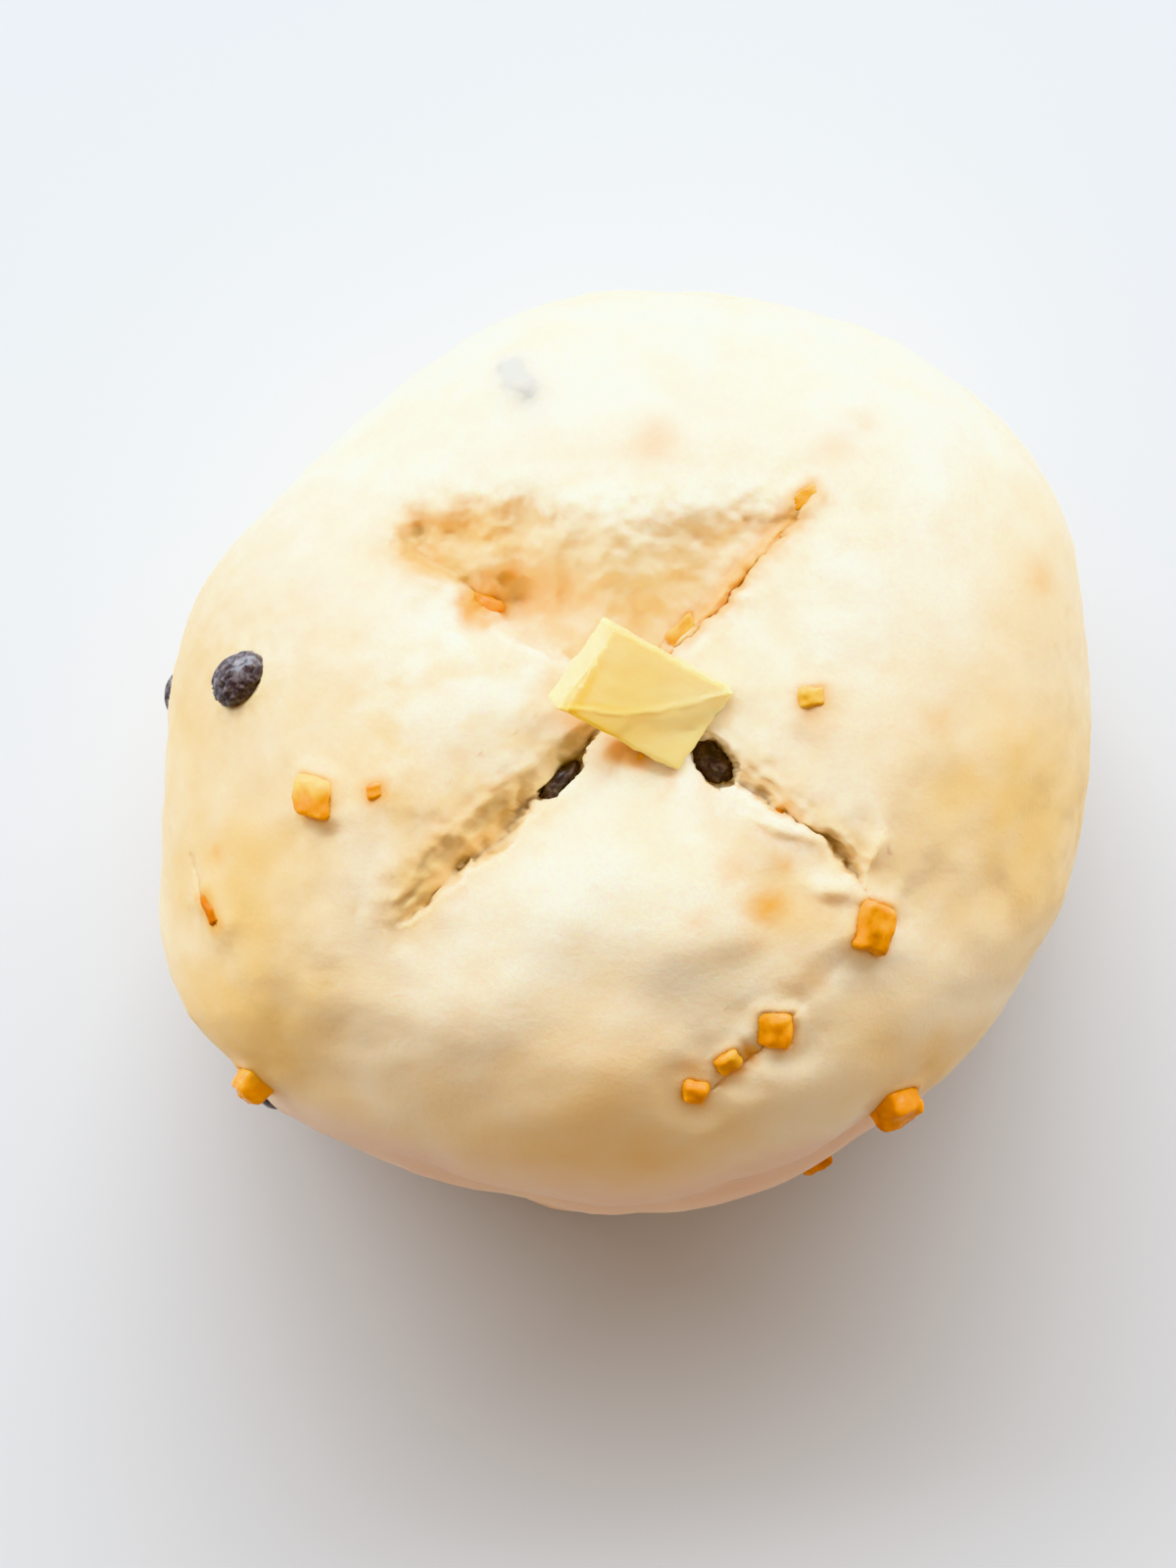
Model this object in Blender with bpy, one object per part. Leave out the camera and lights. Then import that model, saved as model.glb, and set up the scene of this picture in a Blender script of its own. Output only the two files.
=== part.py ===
"""A ball of raw panettone dough, scored with a cross, with butter, raisins and candied orange peel.

Everything is in metres, with +Z up. The ball rests on z = 0, and +Y is the side away from the reader.
"""

import math
from dataclasses import dataclass

import bmesh
import bpy
import numpy as np
from mathutils import Matrix, Vector
from mathutils.bvhtree import BVHTree

MM = 0.001

# The ball: a soft, slightly flattened sphere that sags onto the table.
BALL_RADIUS = 78.2 * MM
BALL_HEIGHT = 95.0 * MM
BELT_HEIGHT = 38.0 * MM
SHOULDER_FULLNESS = 0.90
TUCK_ANGLE = math.radians(150)
TUCK_SHARE = 0.70
SINK_BELOW_TABLE = 4.0 * MM
# Waves that make its outline uneven: (crests, share of the radius, azimuth of a crest in degrees).
OUTLINE_WAVES = (
    (1, 0.0135, 312),
    (2, 0.0548, 39),
    (3, 0.0134, 75),
    (4, 0.0110, 35),
    (6, 0.0155, 38),
    (7, 0.0066, 2),
)
# Slow swells of the skin: (height, length, azimuth of travel in degrees, start as a share of the length).
SKIN_WAVES = (
    (0.5 * MM, 58 * MM, 20, 0.1),
    (0.5 * MM, 47 * MM, 115, 0.6),
    (0.3 * MM, 31 * MM, 70, 0.3),
    (0.25 * MM, 24 * MM, 160, 0.8),
)
# How far a swell leans back as it climbs the side.
SKIN_WAVE_CLIMB = 0.6

# A fold of dough that droops over the foot on the near side: (azimuth in degrees, half width, how far out).
FOLD_LOBES = ((238, 11, 3.0 * MM), (263, 16, 9.0 * MM), (287, 13, 5.0 * MM))
FOLD_HEIGHT = 8.0 * MM
FOLD_THICKNESS = 4.0 * MM

# The cross that is cut into the top. Its four arms leave one crossing, which the butter covers.
CROSSING = Vector((-1.1, 7.2)) * MM
VALLEY_DEPTH = 4.0 * MM
VALLEY_WIDTH = 13.0 * MM
VALLEY_FADE = 0.6
CROSSING_DIP = 7.0 * MM
CROSSING_DIP_WIDTH = 24.0 * MM

# The far quarter was pulled open: a rough face runs down from this crest, seen from above, to the crossing.
CREST_X = tuple(side * MM for side in (-41, -38, -33, -22, -6, 8, 18, 31))
CREST_Y = tuple(side * MM for side in (29, 37, 41, 42.5, 41.5, 40, 42, 41))
CREST_WALL = 3.5 * MM
CREST_STEP_WEST = 2.4 * MM
CREST_STEP_EAST = 0.8 * MM
FACE_DEPTH = 11.0 * MM

# The grid that is wrapped over the ball, and how many triangles are kept of it.
GRID_POINTS = 181
GRID_BUNCHING = 0.45
ARM_BEARINGS = (50.8, 141.5, 220.8, 328.7)
DOUGH_TRIANGLES = 7000

POCKET_GAP = 0.35 * MM

# Everything is moved by this at the end, so that the middle of its footprint stands on the origin.
CENTRING = Vector((0.67, 1.83, 0.0)) * MM


@dataclass
class Side:
    """One wall of a cut: how far it reaches, where along the cut it is widest (0 to 1), and its section.

    A "face" is a straight slope, and a "round" wall is a lip that rolls over its edge.
    """

    width: float
    widest_at: float
    section: str


@dataclass
class Cut:
    """A cut in the skin. Left and right are as seen by someone who walks from start to end."""

    start: Vector
    end: Vector
    depth: float
    left: Side
    right: Side
    bow: float = 0.0


def place(x, y):
    """A point seen from above, given in millimetres."""
    return Vector((x, y)) * MM


def face(width, widest_at):
    """A wall that slopes straight, its width in millimetres."""
    return Side(width * MM, widest_at, "face")


def lip(width, widest_at):
    """A wall that rolls over its edge, its width in millimetres."""
    return Side(width * MM, widest_at, "round")


CROSS_ARMS = (
    Cut(CROSSING, place(29.9, 40.5), 8 * MM, face(3, 0.5), lip(4, 0.4), -1 * MM),
    Cut(CROSSING, place(-37.4, 31.5), 6 * MM, lip(5, 0.4), face(4, 0.6), -2 * MM),
    Cut(CROSSING, place(-37.5, -29.5), 11 * MM, lip(4, 0.2), face(10, 0.7), 1 * MM),
    Cut(CROSSING, place(34.0, -17.6), 9 * MM, face(5, 0.35), lip(4, 0.3)),
)
CREASES = (
    Cut(place(27, -12), place(38.5, -26), 5 * MM, face(3, 0.4), lip(3, 0.4), 1 * MM),
    Cut(place(38, -29), place(24, -44), 2.5 * MM, lip(5, 0.3), face(4, 0.4)),
    Cut(place(26, -42), place(13, -55), 2.5 * MM, lip(4, 0.3), face(3, 0.4)),
    Cut(place(-71.7, -17.1), place(-65.2, -29.1), 2.5 * MM, lip(2, 0.5), lip(2, 0.5)),
)
# Soft dents in the open face: (middle, long and short half axes, turn in degrees, depth).
DENTS = (
    (place(-19.0, 23.4), (8.5 * MM, 4.0 * MM), 8, 4.5 * MM),
    (place(-27.0, 34.0), (12.0 * MM, 6.0 * MM), 12, 2.0 * MM),
    (place(15.0, 33.0), (9.0 * MM, 5.0 * MM), 35, 1.6 * MM),
)

# A wall's width near the crossing, as a share of its full width, and the least width it ever has.
WIDTH_AT_START = 0.55
LEAST_WIDTH = 0.2 * MM


@dataclass
class Fruit:
    """A raisin or a piece of peel: its place, size (long, wide, thick), turn, and how deep it sits.

    On top it is placed from above by (x, y) in millimetres, or by (x, y, z) where it is held in a cut. On
    the side it is placed by its azimuth in degrees and its height in millimetres, with on_side set.
    """

    name: str
    where: tuple
    size: tuple
    turn: float
    sunk: float
    on_side: bool = False


RAISINS = (
    Fruit("raisin_west_top", (-62.0, 10.9), (12.2, 8.6, 6.8), 27, 0.40),
    Fruit("raisin_south_west_cut", (-11.1, -5.3, 79.4), (8.8, 3.4, 4.6), 43, 0.50),
    Fruit("raisin_south_east_cut", (12.9, -2.3, 79.6), (9.0, 6.2, 5.6), -45, 0.50),
    Fruit("raisin_north_skin", (-17.2, 59.0), (8.0, 5.0, 5.0), 120, 0.80),
    Fruit("raisin_west_side", (173, 42), (9.0, 7.0, 6.0), 80, 0.72, True),
    Fruit("raisin_south_west_side", (224.2, 36), (8.0, 6.0, 5.6), 20, 0.72, True),
    Fruit("raisin_north_side", (84, 15), (10.0, 7.5, 6.0), 30, 0.62, True),
    Fruit("raisin_south_side", (262, 22), (9.5, 7.0, 6.0), 140, 0.60, True),
    Fruit("raisin_east_side", (12, 17), (9.5, 7.0, 6.0), 60, 0.62, True),
)
PEEL = (
    Fruit("peel_west_top", (-49.2, -7.8), (6.8, 6.0, 5.6), 85, 0.50),
    Fruit("peel_west_dot", (-39.8, -6.9), (2.4, 2.0, 2.2), 20, 0.50),
    Fruit("peel_west_crack", (-66.9, -26.0), (6.0, 2.4, 2.4), 120, 0.50),
    Fruit("peel_north_west_cut", (-23.4, 22.4, 75.2), (5.6, 3.8, 3.2), 150, 0.50),
    Fruit("peel_north_east_cut", (27.4, 39.2, 83.2), (5.0, 2.8, 2.8), 30, 0.50),
    Fruit("peel_north_of_butter", (8.1, 18.3, 81.0), (5.6, 2.2, 2.4), 47, 0.50),
    Fruit("peel_south_of_butter", (-0.4, -1.4), (5.0, 2.0, 1.8), -18, 0.60),
    Fruit("peel_east_top", (28.2, 7.8), (4.0, 2.8, 3.0), 10, 0.60),
    Fruit("peel_south_east_cut", (24.2, -9.8, 84.2), (2.6, 2.2, 2.4), 40, 0.50),
    Fruit("peel_south_east_end", (37.9, -28.1), (8.4, 6.2, 5.5), 80, 0.48),
    Fruit("peel_south_crease", (23.0, -44.0), (7.0, 5.8, 5.0), 86, 0.48),
    Fruit("peel_south_crease_strip", (15.4, -49.6), (4.2, 3.0, 2.8), 40, 0.50),
    Fruit("peel_south_dot", (10.3, -54.6), (3.8, 3.4, 3.0), 80, 0.45),
    Fruit("peel_south_west_side", (221.6, 53), (6.2, 6.0, 6.0), 30, 0.37, True),
    Fruit("peel_south_east_side", (306.9, 58), (7.6, 7.4, 6.8), 80, 0.37, True),
    Fruit("peel_south_side", (294.6, 31), (4.8, 4.2, 3.8), 10, 0.48, True),
    Fruit("peel_north_west_side", (128, 16), (6.6, 6.0, 5.0), 40, 0.60, True),
    Fruit("peel_north_east_side", (52, 19), (6.0, 5.4, 5.0), 70, 0.62, True),
    Fruit("peel_east_side", (338, 20), (6.6, 5.8, 5.0), 20, 0.50, True),
)

BUTTER_SIZE = (23.4 * MM, 15.5 * MM, 4.5 * MM)
BUTTER_CENTRE = Vector((1.7, 7.9, 90.2)) * MM
BUTTER_TURN = math.radians(-28)
BUTTER_TIP_EAST = math.radians(9)
BUTTER_TIP_SOUTH = math.radians(13)
BUTTER_BEVEL = 0.6 * MM


# ---- The shape of the dough, as functions of arrays of points ----


def outline_radius(azimuth):
    """The ball's radius at the belt, in each direction."""
    waves = sum(share * np.cos(crests * (azimuth - math.radians(at))) for crests, share, at in OUTLINE_WAVES)
    return BALL_RADIUS * (1 + waves)


def fold_reach(azimuth, height):
    """How far the fold at the foot stands out."""
    out = np.zeros_like(azimuth)
    for at, half_width, reach in FOLD_LOBES:
        turn = (np.degrees(azimuth) - at + 180) % 360 - 180
        out = np.maximum(out, reach * np.exp(-((turn / half_width) ** 2)))
    return out * np.exp(-(((height - FOLD_HEIGHT) / FOLD_THICKNESS) ** 2))


def wrapped_grid():
    """Azimuths and shares, from 0 at the crossing to 1 at the foot, of a square grid drawn over the ball."""
    line = np.linspace(-1, 1, GRID_POINTS)
    line = (1 - GRID_BUNCHING) * line + GRID_BUNCHING * line**3
    u, v = np.meshgrid(line, line, indexing="ij")
    east, north = u * np.sqrt(1 - v**2 / 2), v * np.sqrt(1 - u**2 / 2)
    share = np.minimum(np.hypot(east, north), 1.0)
    turn = np.degrees(np.arctan2(north, east)) % 360
    ne, nw, sw, se = ARM_BEARINGS
    azimuth = np.radians(np.interp(turn, (0, 90, 180, 270, 360), (se - 360, ne, nw, sw, se)))
    return azimuth.ravel(), share.ravel()


def plain_ball(azimuth, share):
    """The ball before it is cut: a rounded dome above its belt, tucked in below it."""
    tip = share * TUCK_ANGLE
    above = tip <= math.pi / 2
    reach = np.where(above, np.sin(tip), TUCK_SHARE + (1 - TUCK_SHARE) * np.sin(tip))
    drop = np.abs(np.cos(tip))
    dome = BELT_HEIGHT + (BALL_HEIGHT - BELT_HEIGHT) * drop**SHOULDER_FULLNESS
    tuck = BELT_HEIGHT - (BELT_HEIGHT + SINK_BELOW_TABLE) * drop / abs(math.cos(TUCK_ANGLE))
    height = np.where(above, dome, tuck)
    radius = reach * outline_radius(azimuth) + fold_reach(azimuth, height)
    x = CROSSING.x * (1 - reach) + radius * np.cos(azimuth)
    y = CROSSING.y * (1 - reach) + radius * np.sin(azimuth)
    return x, y, height, reach


def wall(distance, width, section):
    """How deep a cut is at a distance from its line, from 1 at the line to 0 where its wall ends."""
    left = 1 - np.clip(distance / width, 0, 1)
    if section == "round":
        return 1 - np.sqrt(1 - left**2)
    return left


def width_along(side, along):
    """A wall's width: full where it is widest, and none at the cut's far end."""
    ahead = np.clip((along - side.widest_at) / (1 - side.widest_at), 0, 1)
    behind = np.clip((side.widest_at - along) / side.widest_at, 0, 1)
    return np.maximum(side.width * (1 - ahead**2) * (1 - (1 - WIDTH_AT_START) * behind**2), LEAST_WIDTH)


def cut_depth(cut, x, y, both_ends=False):
    """How much a cut takes off the surface at each point. It fades out at its end, or at both ends."""
    run = cut.end - cut.start
    length = run.length
    along_x, along_y = run / length
    ahead = (x - cut.start.x) * along_x + (y - cut.start.y) * along_y
    along = ahead / length
    aside = (y - cut.start.y) * along_x - (x - cut.start.x) * along_y
    aside = aside - cut.bow * np.sin(math.pi * np.clip(along, 0, 1))
    past = np.where(along < 0, -ahead, 0)
    distance = np.hypot(aside, past)
    inside = np.clip(along, 0, 1)
    strength = np.sqrt(np.sin(math.pi * inside)) if both_ends else 1 - inside**3
    walls = [wall(distance, width_along(side, inside), side.section) for side in (cut.left, cut.right)]
    return cut.depth * strength * np.where(aside > 0, *walls) * (along < 1)


def line_side(cut, x, y):
    """How far each point lies to the left of a cut's straight line."""
    run = (cut.end - cut.start).normalized()
    return (y - cut.start.y) * run.x - (x - cut.start.x) * run.y


def smooth(share):
    """A soft step from 0 to 1."""
    share = np.clip(share, 0, 1)
    return share * share * (3 - 2 * share)


def face_depth(x, y):
    """The open face of the far quarter, between the first two arms and below the crest."""
    north_east, north_west = CROSS_ARMS[:2]
    below = np.interp(x, CREST_X, CREST_Y) - y
    inside = smooth(below / CREST_WALL)
    for away in (line_side(north_east, x, y), -line_side(north_west, x, y)):
        inside = inside * smooth(away / CREST_WALL + 0.5)
    step = np.interp(x, (CREST_X[2], 0.0), (CREST_STEP_WEST, CREST_STEP_EAST))
    fall = np.clip(below / (CREST_Y[4] - CROSSING.y), 0, 1)
    return inside * (step + (FACE_DEPTH - step) * fall)


def dent_depth(dent, x, y):
    """A smooth oval dent."""
    middle, (long, short), turn, depth = dent
    way = math.radians(turn)
    ahead = (x - middle.x) * math.cos(way) + (y - middle.y) * math.sin(way)
    aside = (y - middle.y) * math.cos(way) - (x - middle.x) * math.sin(way)
    return depth * np.exp(-((ahead / long) ** 2) - (aside / short) ** 2)


def valley_depth(x, y):
    """The wide, soft dip along the arms, which leaves the four quarters puffed up between them."""
    dip = np.zeros_like(x)
    for arm in CROSS_ARMS:
        run = arm.end - arm.start
        along = ((x - arm.start.x) * run.x + (y - arm.start.y) * run.y) / run.length_squared
        near = np.clip(along, 0, 1)
        away = np.hypot(x - arm.start.x - near * run.x, y - arm.start.y - near * run.y)
        dip = np.maximum(dip, (1 - VALLEY_FADE * near**2) * np.exp(-((away / VALLEY_WIDTH) ** 2)))
    middle = np.hypot(x - CROSSING.x, y - CROSSING.y) / CROSSING_DIP_WIDTH
    return VALLEY_DEPTH * dip + CROSSING_DIP * np.exp(-(middle**2))


def skin_waves(x, y, z):
    """Slow, low swells of the skin."""
    total = np.zeros_like(x)
    for height, length, bearing, start in SKIN_WAVES:
        way = math.radians(bearing)
        travel = x * math.cos(way) + y * math.sin(way) + SKIN_WAVE_CLIMB * z
        total += height * np.sin(2 * math.pi * (travel / length + start))
    return total


def dough_points():
    """Every grid point on the finished surface of the dough."""
    azimuth, share = wrapped_grid()
    x, y, z, reach = plain_ball(azimuth, share)
    swell = skin_waves(x, y, z)
    x = x + swell * np.cos(azimuth) * reach**2
    y = y + swell * np.sin(azimuth) * reach**2
    above = z > BELT_HEIGHT
    z = z + np.where(above, swell * (1 - reach**2), 0)
    cuts = [cut_depth(arm, x, y) for arm in CROSS_ARMS]
    cuts += [cut_depth(crease, x, y, both_ends=True) for crease in CREASES]
    cuts.append(face_depth(x, y))
    carved = np.maximum(np.max(cuts, axis=0), 0) + valley_depth(x, y)
    carved += sum(dent_depth(dent, x, y) for dent in DENTS)
    z = z - np.where(above, carved, 0)
    return np.column_stack([x, y, z])


# ---- Building blocks ----


def clear_scene():
    for thing in list(bpy.data.objects):
        bpy.data.objects.remove(thing, do_unlink=True)


def finish_material(name, colour, roughness):
    material = bpy.data.materials.new(name)
    material.use_nodes = True
    shader = material.node_tree.nodes["Principled BSDF"]
    shader.inputs["Base Color"].default_value = (*colour, 1)
    shader.inputs["Roughness"].default_value = roughness
    shader.inputs["Metallic"].default_value = 0.0
    return material


def new_object(name, mesh, material=None, collection=None):
    thing = bpy.data.objects.new(name, mesh)
    (collection or bpy.context.scene.collection).objects.link(thing)
    if material:
        mesh.materials.append(material)
    return thing


def mesh_from(build):
    """A mesh from a bmesh that the given function fills."""
    bm = bmesh.new()
    build(bm)
    bmesh.ops.recalc_face_normals(bm, faces=bm.faces)
    mesh = bpy.data.meshes.new("mesh")
    bm.to_mesh(mesh)
    bm.free()
    mesh.shade_smooth()
    return mesh


# ---- The dough ----


def build_skin(bm):
    """The wrapped grid as faces, closed below the table by one face."""
    points = [bm.verts.new(point) for point in dough_points()]
    count = GRID_POINTS
    for i in range(count - 1):
        for j in range(count - 1):
            first = i * count + j
            bm.faces.new([points[k] for k in (first, first + count, first + count + 1, first + 1)])
    rim = [edge for edge in bm.edges if edge.is_boundary]
    bmesh.ops.holes_fill(bm, edges=rim)


def build_table(bm):
    side = 3 * BALL_RADIUS
    bmesh.ops.create_cube(bm, size=side, matrix=Matrix.Translation((0, 0, -side / 2)))


def cutter(thing):
    thing.hide_render = True
    thing.display_type = "WIRE"
    return thing


def make_dough(material):
    """The skin with fewer triangles, trimmed flat where it rests on the table."""
    dough = new_object("dough", mesh_from(build_skin), material)
    fewer = dough.modifiers.new("fewer", "DECIMATE")
    fewer.ratio = DOUGH_TRIANGLES / (2 * (GRID_POINTS - 1) ** 2)
    table = cutter(new_object("table_cutter", mesh_from(build_table)))
    trim = dough.modifiers.new("trim", "BOOLEAN")
    trim.operation = "DIFFERENCE"
    trim.object = table
    return dough


def surface_of(thing):
    """A search tree over an object's evaluated surface."""
    bpy.context.view_layer.update()
    return BVHTree.FromObject(thing, bpy.context.evaluated_depsgraph_get())


# ---- Fruit and butter ----

# A raisin's skin: (folds round it, how they lean along it, share of its radius).
RAISIN_FOLDS = ((5, 9, 0.05), (3, -7, -0.05))
# A cube of peel is a little narrower on top, slanted, and soft at its edges, as shares of its sides.
PEEL_TAPER = (0.86, 0.90)
PEEL_SLANT = 0.06
PEEL_BEVEL = 0.2
# The pat of butter is cut a little askew and sags at its ends.
BUTTER_SLANT = 0.7 * MM
BUTTER_SAG = 0.7 * MM


def build_raisin(size):
    """A plump, slightly wrinkled oval."""

    def build(bm):
        bmesh.ops.create_icosphere(bm, subdivisions=2, radius=0.5)
        for vert in bm.verts:
            around = math.atan2(vert.co.z, vert.co.y)
            for folds, lean, share in RAISIN_FOLDS:
                vert.co *= 1 + share * math.cos(folds * around + lean * vert.co.x)
            vert.co = Vector(part * side for part, side in zip(vert.co, size))

    return build


def build_peel(size):
    """A cut cube of peel with softened edges and one face narrower than the other."""

    def build(bm):
        bmesh.ops.create_cube(bm, size=1.0)
        for vert in bm.verts:
            if vert.co.z > 0:
                vert.co.x *= PEEL_TAPER[0]
                vert.co.y *= PEEL_TAPER[1]
            vert.co.x += math.copysign(PEEL_SLANT, vert.co.y)
            vert.co = Vector(part * side for part, side in zip(vert.co, size))
        softened = PEEL_BEVEL * min(size)
        bmesh.ops.bevel(bm, geom=bm.edges[:], offset=softened, segments=2, affect="EDGES", profile=0.6)

    return build


def build_butter(bm):
    """A thin pat, cut from a block, with slightly rounded edges."""
    bmesh.ops.create_cube(bm, size=1.0)
    for vert in bm.verts:
        vert.co = Vector(part * side for part, side in zip(vert.co, BUTTER_SIZE))
        vert.co.x += math.copysign(BUTTER_SLANT, vert.co.y)
    bmesh.ops.subdivide_edges(bm, edges=bm.edges[:], cuts=3, use_grid_fill=True)
    for vert in bm.verts:
        vert.co.z -= BUTTER_SAG * (2 * vert.co.x / BUTTER_SIZE[0]) ** 2
    sharp = [edge for edge in bm.edges if edge.calc_face_angle(0) > math.radians(60)]
    bmesh.ops.bevel(bm, geom=sharp, offset=BUTTER_BEVEL, segments=2, affect="EDGES", profile=0.6)


def seat_on(surface, fruit):
    """Where a piece of fruit lies: a point on the dough and the direction that faces out of it there."""
    if len(fruit.where) == 3:
        return Vector(fruit.where) * MM, Vector((0, 0, 1))
    if fruit.on_side:
        azimuth, height = math.radians(fruit.where[0]), fruit.where[1] * MM
        outward = Vector((math.cos(azimuth), math.sin(azimuth), 0))
        start, way = outward * 2 * BALL_RADIUS + Vector((0, 0, height)), -outward
    else:
        start, way = Vector((*place(*fruit.where), 2 * BALL_HEIGHT)), Vector((0, 0, -1))
    point, normal, _, _ = surface.ray_cast(start, way)
    return point, normal


def turned_to(point, normal, turn):
    """A matrix with its Z along the normal, turned about it by an angle in degrees."""
    upright = Vector((0, 0, 1)).rotation_difference(normal).to_matrix().to_4x4()
    return Matrix.Translation(point) @ upright @ Matrix.Rotation(math.radians(turn), 4, "Z")


def add_fruit(fruit, build_shape, surface, material, pockets):
    """A piece of fruit, and the pocket a little larger than it that it fills in the dough."""
    size = [side * MM for side in fruit.size]
    point, normal = seat_on(surface, fruit)
    centre = point + normal * size[2] * (0.5 - fruit.sunk)
    matrix = turned_to(centre, normal, fruit.turn)
    new_object(fruit.name, mesh_from(build_shape(size)), material).matrix_world = matrix
    roomy = [side + 2 * POCKET_GAP for side in size]
    pocket = cutter(new_object(fruit.name + "_pocket", mesh_from(build_shape(roomy)), None, pockets))
    pocket.matrix_world = matrix


def add_butter(material, pockets):
    """The pat, tipped towards the reader's right, and the room for it where it dents the dough."""
    tip = Matrix.Rotation(BUTTER_TIP_EAST, 4, "Y") @ Matrix.Rotation(BUTTER_TIP_SOUTH, 4, "X")
    matrix = Matrix.Translation(BUTTER_CENTRE) @ tip @ Matrix.Rotation(BUTTER_TURN, 4, "Z")
    butter = new_object("butter", mesh_from(build_butter), material)
    butter.matrix_world = matrix
    room = cutter(new_object("butter_pocket", butter.data.copy(), None, pockets))
    room.matrix_world = matrix @ Matrix.Diagonal([1 + 2 * POCKET_GAP / side for side in BUTTER_SIZE] + [1])


def main():
    clear_scene()
    dough_finish = finish_material("raw_dough", (0.88, 0.74, 0.50), 0.45)
    raisin_finish = finish_material("raisin_skin", (0.035, 0.022, 0.025), 0.4)
    peel_finish = finish_material("candied_orange", (0.95, 0.42, 0.03), 0.25)
    butter_finish = finish_material("butter_pat", (0.96, 0.80, 0.36), 0.35)

    dough = make_dough(dough_finish)
    surface = surface_of(dough)
    pockets = bpy.data.collections.new("pockets")
    bpy.context.scene.collection.children.link(pockets)
    for fruit in RAISINS:
        add_fruit(fruit, build_raisin, surface, raisin_finish, pockets)
    for fruit in PEEL:
        add_fruit(fruit, build_peel, surface, peel_finish, pockets)
    add_butter(butter_finish, pockets)

    press_in = dough.modifiers.new("pockets", "BOOLEAN")
    press_in.operation = "DIFFERENCE"
    press_in.operand_type = "COLLECTION"
    press_in.collection = pockets

    for thing in bpy.data.objects:
        thing.location += CENTRING


main()
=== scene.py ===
# %% [markdown]
# # A ball of raw festive dough, scored, buttered and studded with fruit
#
# The solids come first: one for the ball, one for the pat of butter, and one for each raisin and
# each cube of candied peel. This lesson dresses them. The dough gets its fine skin, its torn cuts
# and its colour, and the fruit and the butter get their real surfaces.

# %% Load the solids
import math

import bpy
import numpy as np
from mathutils import Matrix, Vector, noise


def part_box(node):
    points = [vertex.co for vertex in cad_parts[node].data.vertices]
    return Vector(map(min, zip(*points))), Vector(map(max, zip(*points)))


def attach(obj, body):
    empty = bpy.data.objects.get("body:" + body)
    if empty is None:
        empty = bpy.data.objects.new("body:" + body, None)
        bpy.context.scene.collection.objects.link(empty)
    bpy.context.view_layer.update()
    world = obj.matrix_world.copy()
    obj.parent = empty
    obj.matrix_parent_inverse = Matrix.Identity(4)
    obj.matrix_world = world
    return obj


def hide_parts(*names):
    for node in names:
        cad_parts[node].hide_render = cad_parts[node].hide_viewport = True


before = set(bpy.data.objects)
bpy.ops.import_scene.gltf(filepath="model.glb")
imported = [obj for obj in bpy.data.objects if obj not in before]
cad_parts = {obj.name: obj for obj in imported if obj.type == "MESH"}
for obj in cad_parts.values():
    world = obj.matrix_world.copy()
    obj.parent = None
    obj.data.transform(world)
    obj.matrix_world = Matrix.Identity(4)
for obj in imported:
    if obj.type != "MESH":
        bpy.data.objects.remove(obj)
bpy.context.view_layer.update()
fruit_nodes = sorted(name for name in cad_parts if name.startswith(("raisin", "peel")))
print("solids", len(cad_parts), "of which fruit", len(fruit_nodes))

# %% [markdown]
# ## The view
#
# The camera looks straight down from 0.7 m with a long lens, so the ball keeps its outline and hides
# its own sides. The floor is a plain pale sheet. The light is one long soft window on the far side,
# a third of the way up the sky, and a dim warm room fills the shade. Several small lamps could light it
# too, but one long light gives the single soft shadow that a window gives.

# %% The camera
MM = 0.001
CAMERA_AT = Vector((-5.98, -3.99, 700)) * MM
LENS = 90.0
bpy.ops.object.camera_add(location=CAMERA_AT, rotation=(0, 0, 0))
camera = bpy.context.object
camera.name = "camera"
camera.data.lens = LENS
camera.data.sensor_width = 36.0
bpy.context.scene.camera = camera
print("camera height", round(camera.location.z, 3))

# %% The floor and the light
FLOOR_SIZE = 6.0
WINDOW_AT = Vector((-0.12, 1.00, 0.64))
WINDOW_WIDTH = 3.4
WINDOW_HEIGHT = 0.75
WINDOW_POWER = 90.0
WINDOW_COLOUR = (0.75, 0.88, 1.0)
WINDOW_AIM = Vector((0, 0, 0.05))
ROOM_COLOUR = (1.0, 0.82, 0.68)
ROOM_STRENGTH = 0.55

bpy.ops.mesh.primitive_plane_add(size=FLOOR_SIZE, location=(0, 0, 0))
floor = bpy.context.object
floor.name = "floor"

bpy.ops.object.light_add(type="AREA", location=WINDOW_AT)
window = bpy.context.object
window.name = "window_light"
window.data.shape = "RECTANGLE"
window.data.size = WINDOW_WIDTH
window.data.size_y = WINDOW_HEIGHT
window.data.energy = WINDOW_POWER
window.data.color = WINDOW_COLOUR
window.rotation_euler = (WINDOW_AIM - WINDOW_AT).to_track_quat("-Z", "Y").to_euler()

room = bpy.data.worlds.new("room")
room.use_nodes = True
room.node_tree.nodes["Background"].inputs["Color"].default_value = (*ROOM_COLOUR, 1)
room.node_tree.nodes["Background"].inputs["Strength"].default_value = ROOM_STRENGTH
bpy.context.scene.world = room
bpy.context.scene.view_settings.view_transform = "Khronos PBR Neutral"
print("window from", tuple(round(side, 2) for side in WINDOW_AT))

# %% [markdown]
# ## Helpers
#
# Blender's operators act on whatever is selected, so `only` picks one object first. Materials are
# built from a few kinds of node, so each kind has a short helper. They could be wired up by hand in
# the node editor, but then every piece would repeat the same steps.


# %% Selecting and copying
def only(thing):
    """Selects one object alone and makes it active."""
    bpy.ops.object.select_all(action="DESELECT")
    thing.select_set(True)
    bpy.context.view_layer.objects.active = thing


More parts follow.
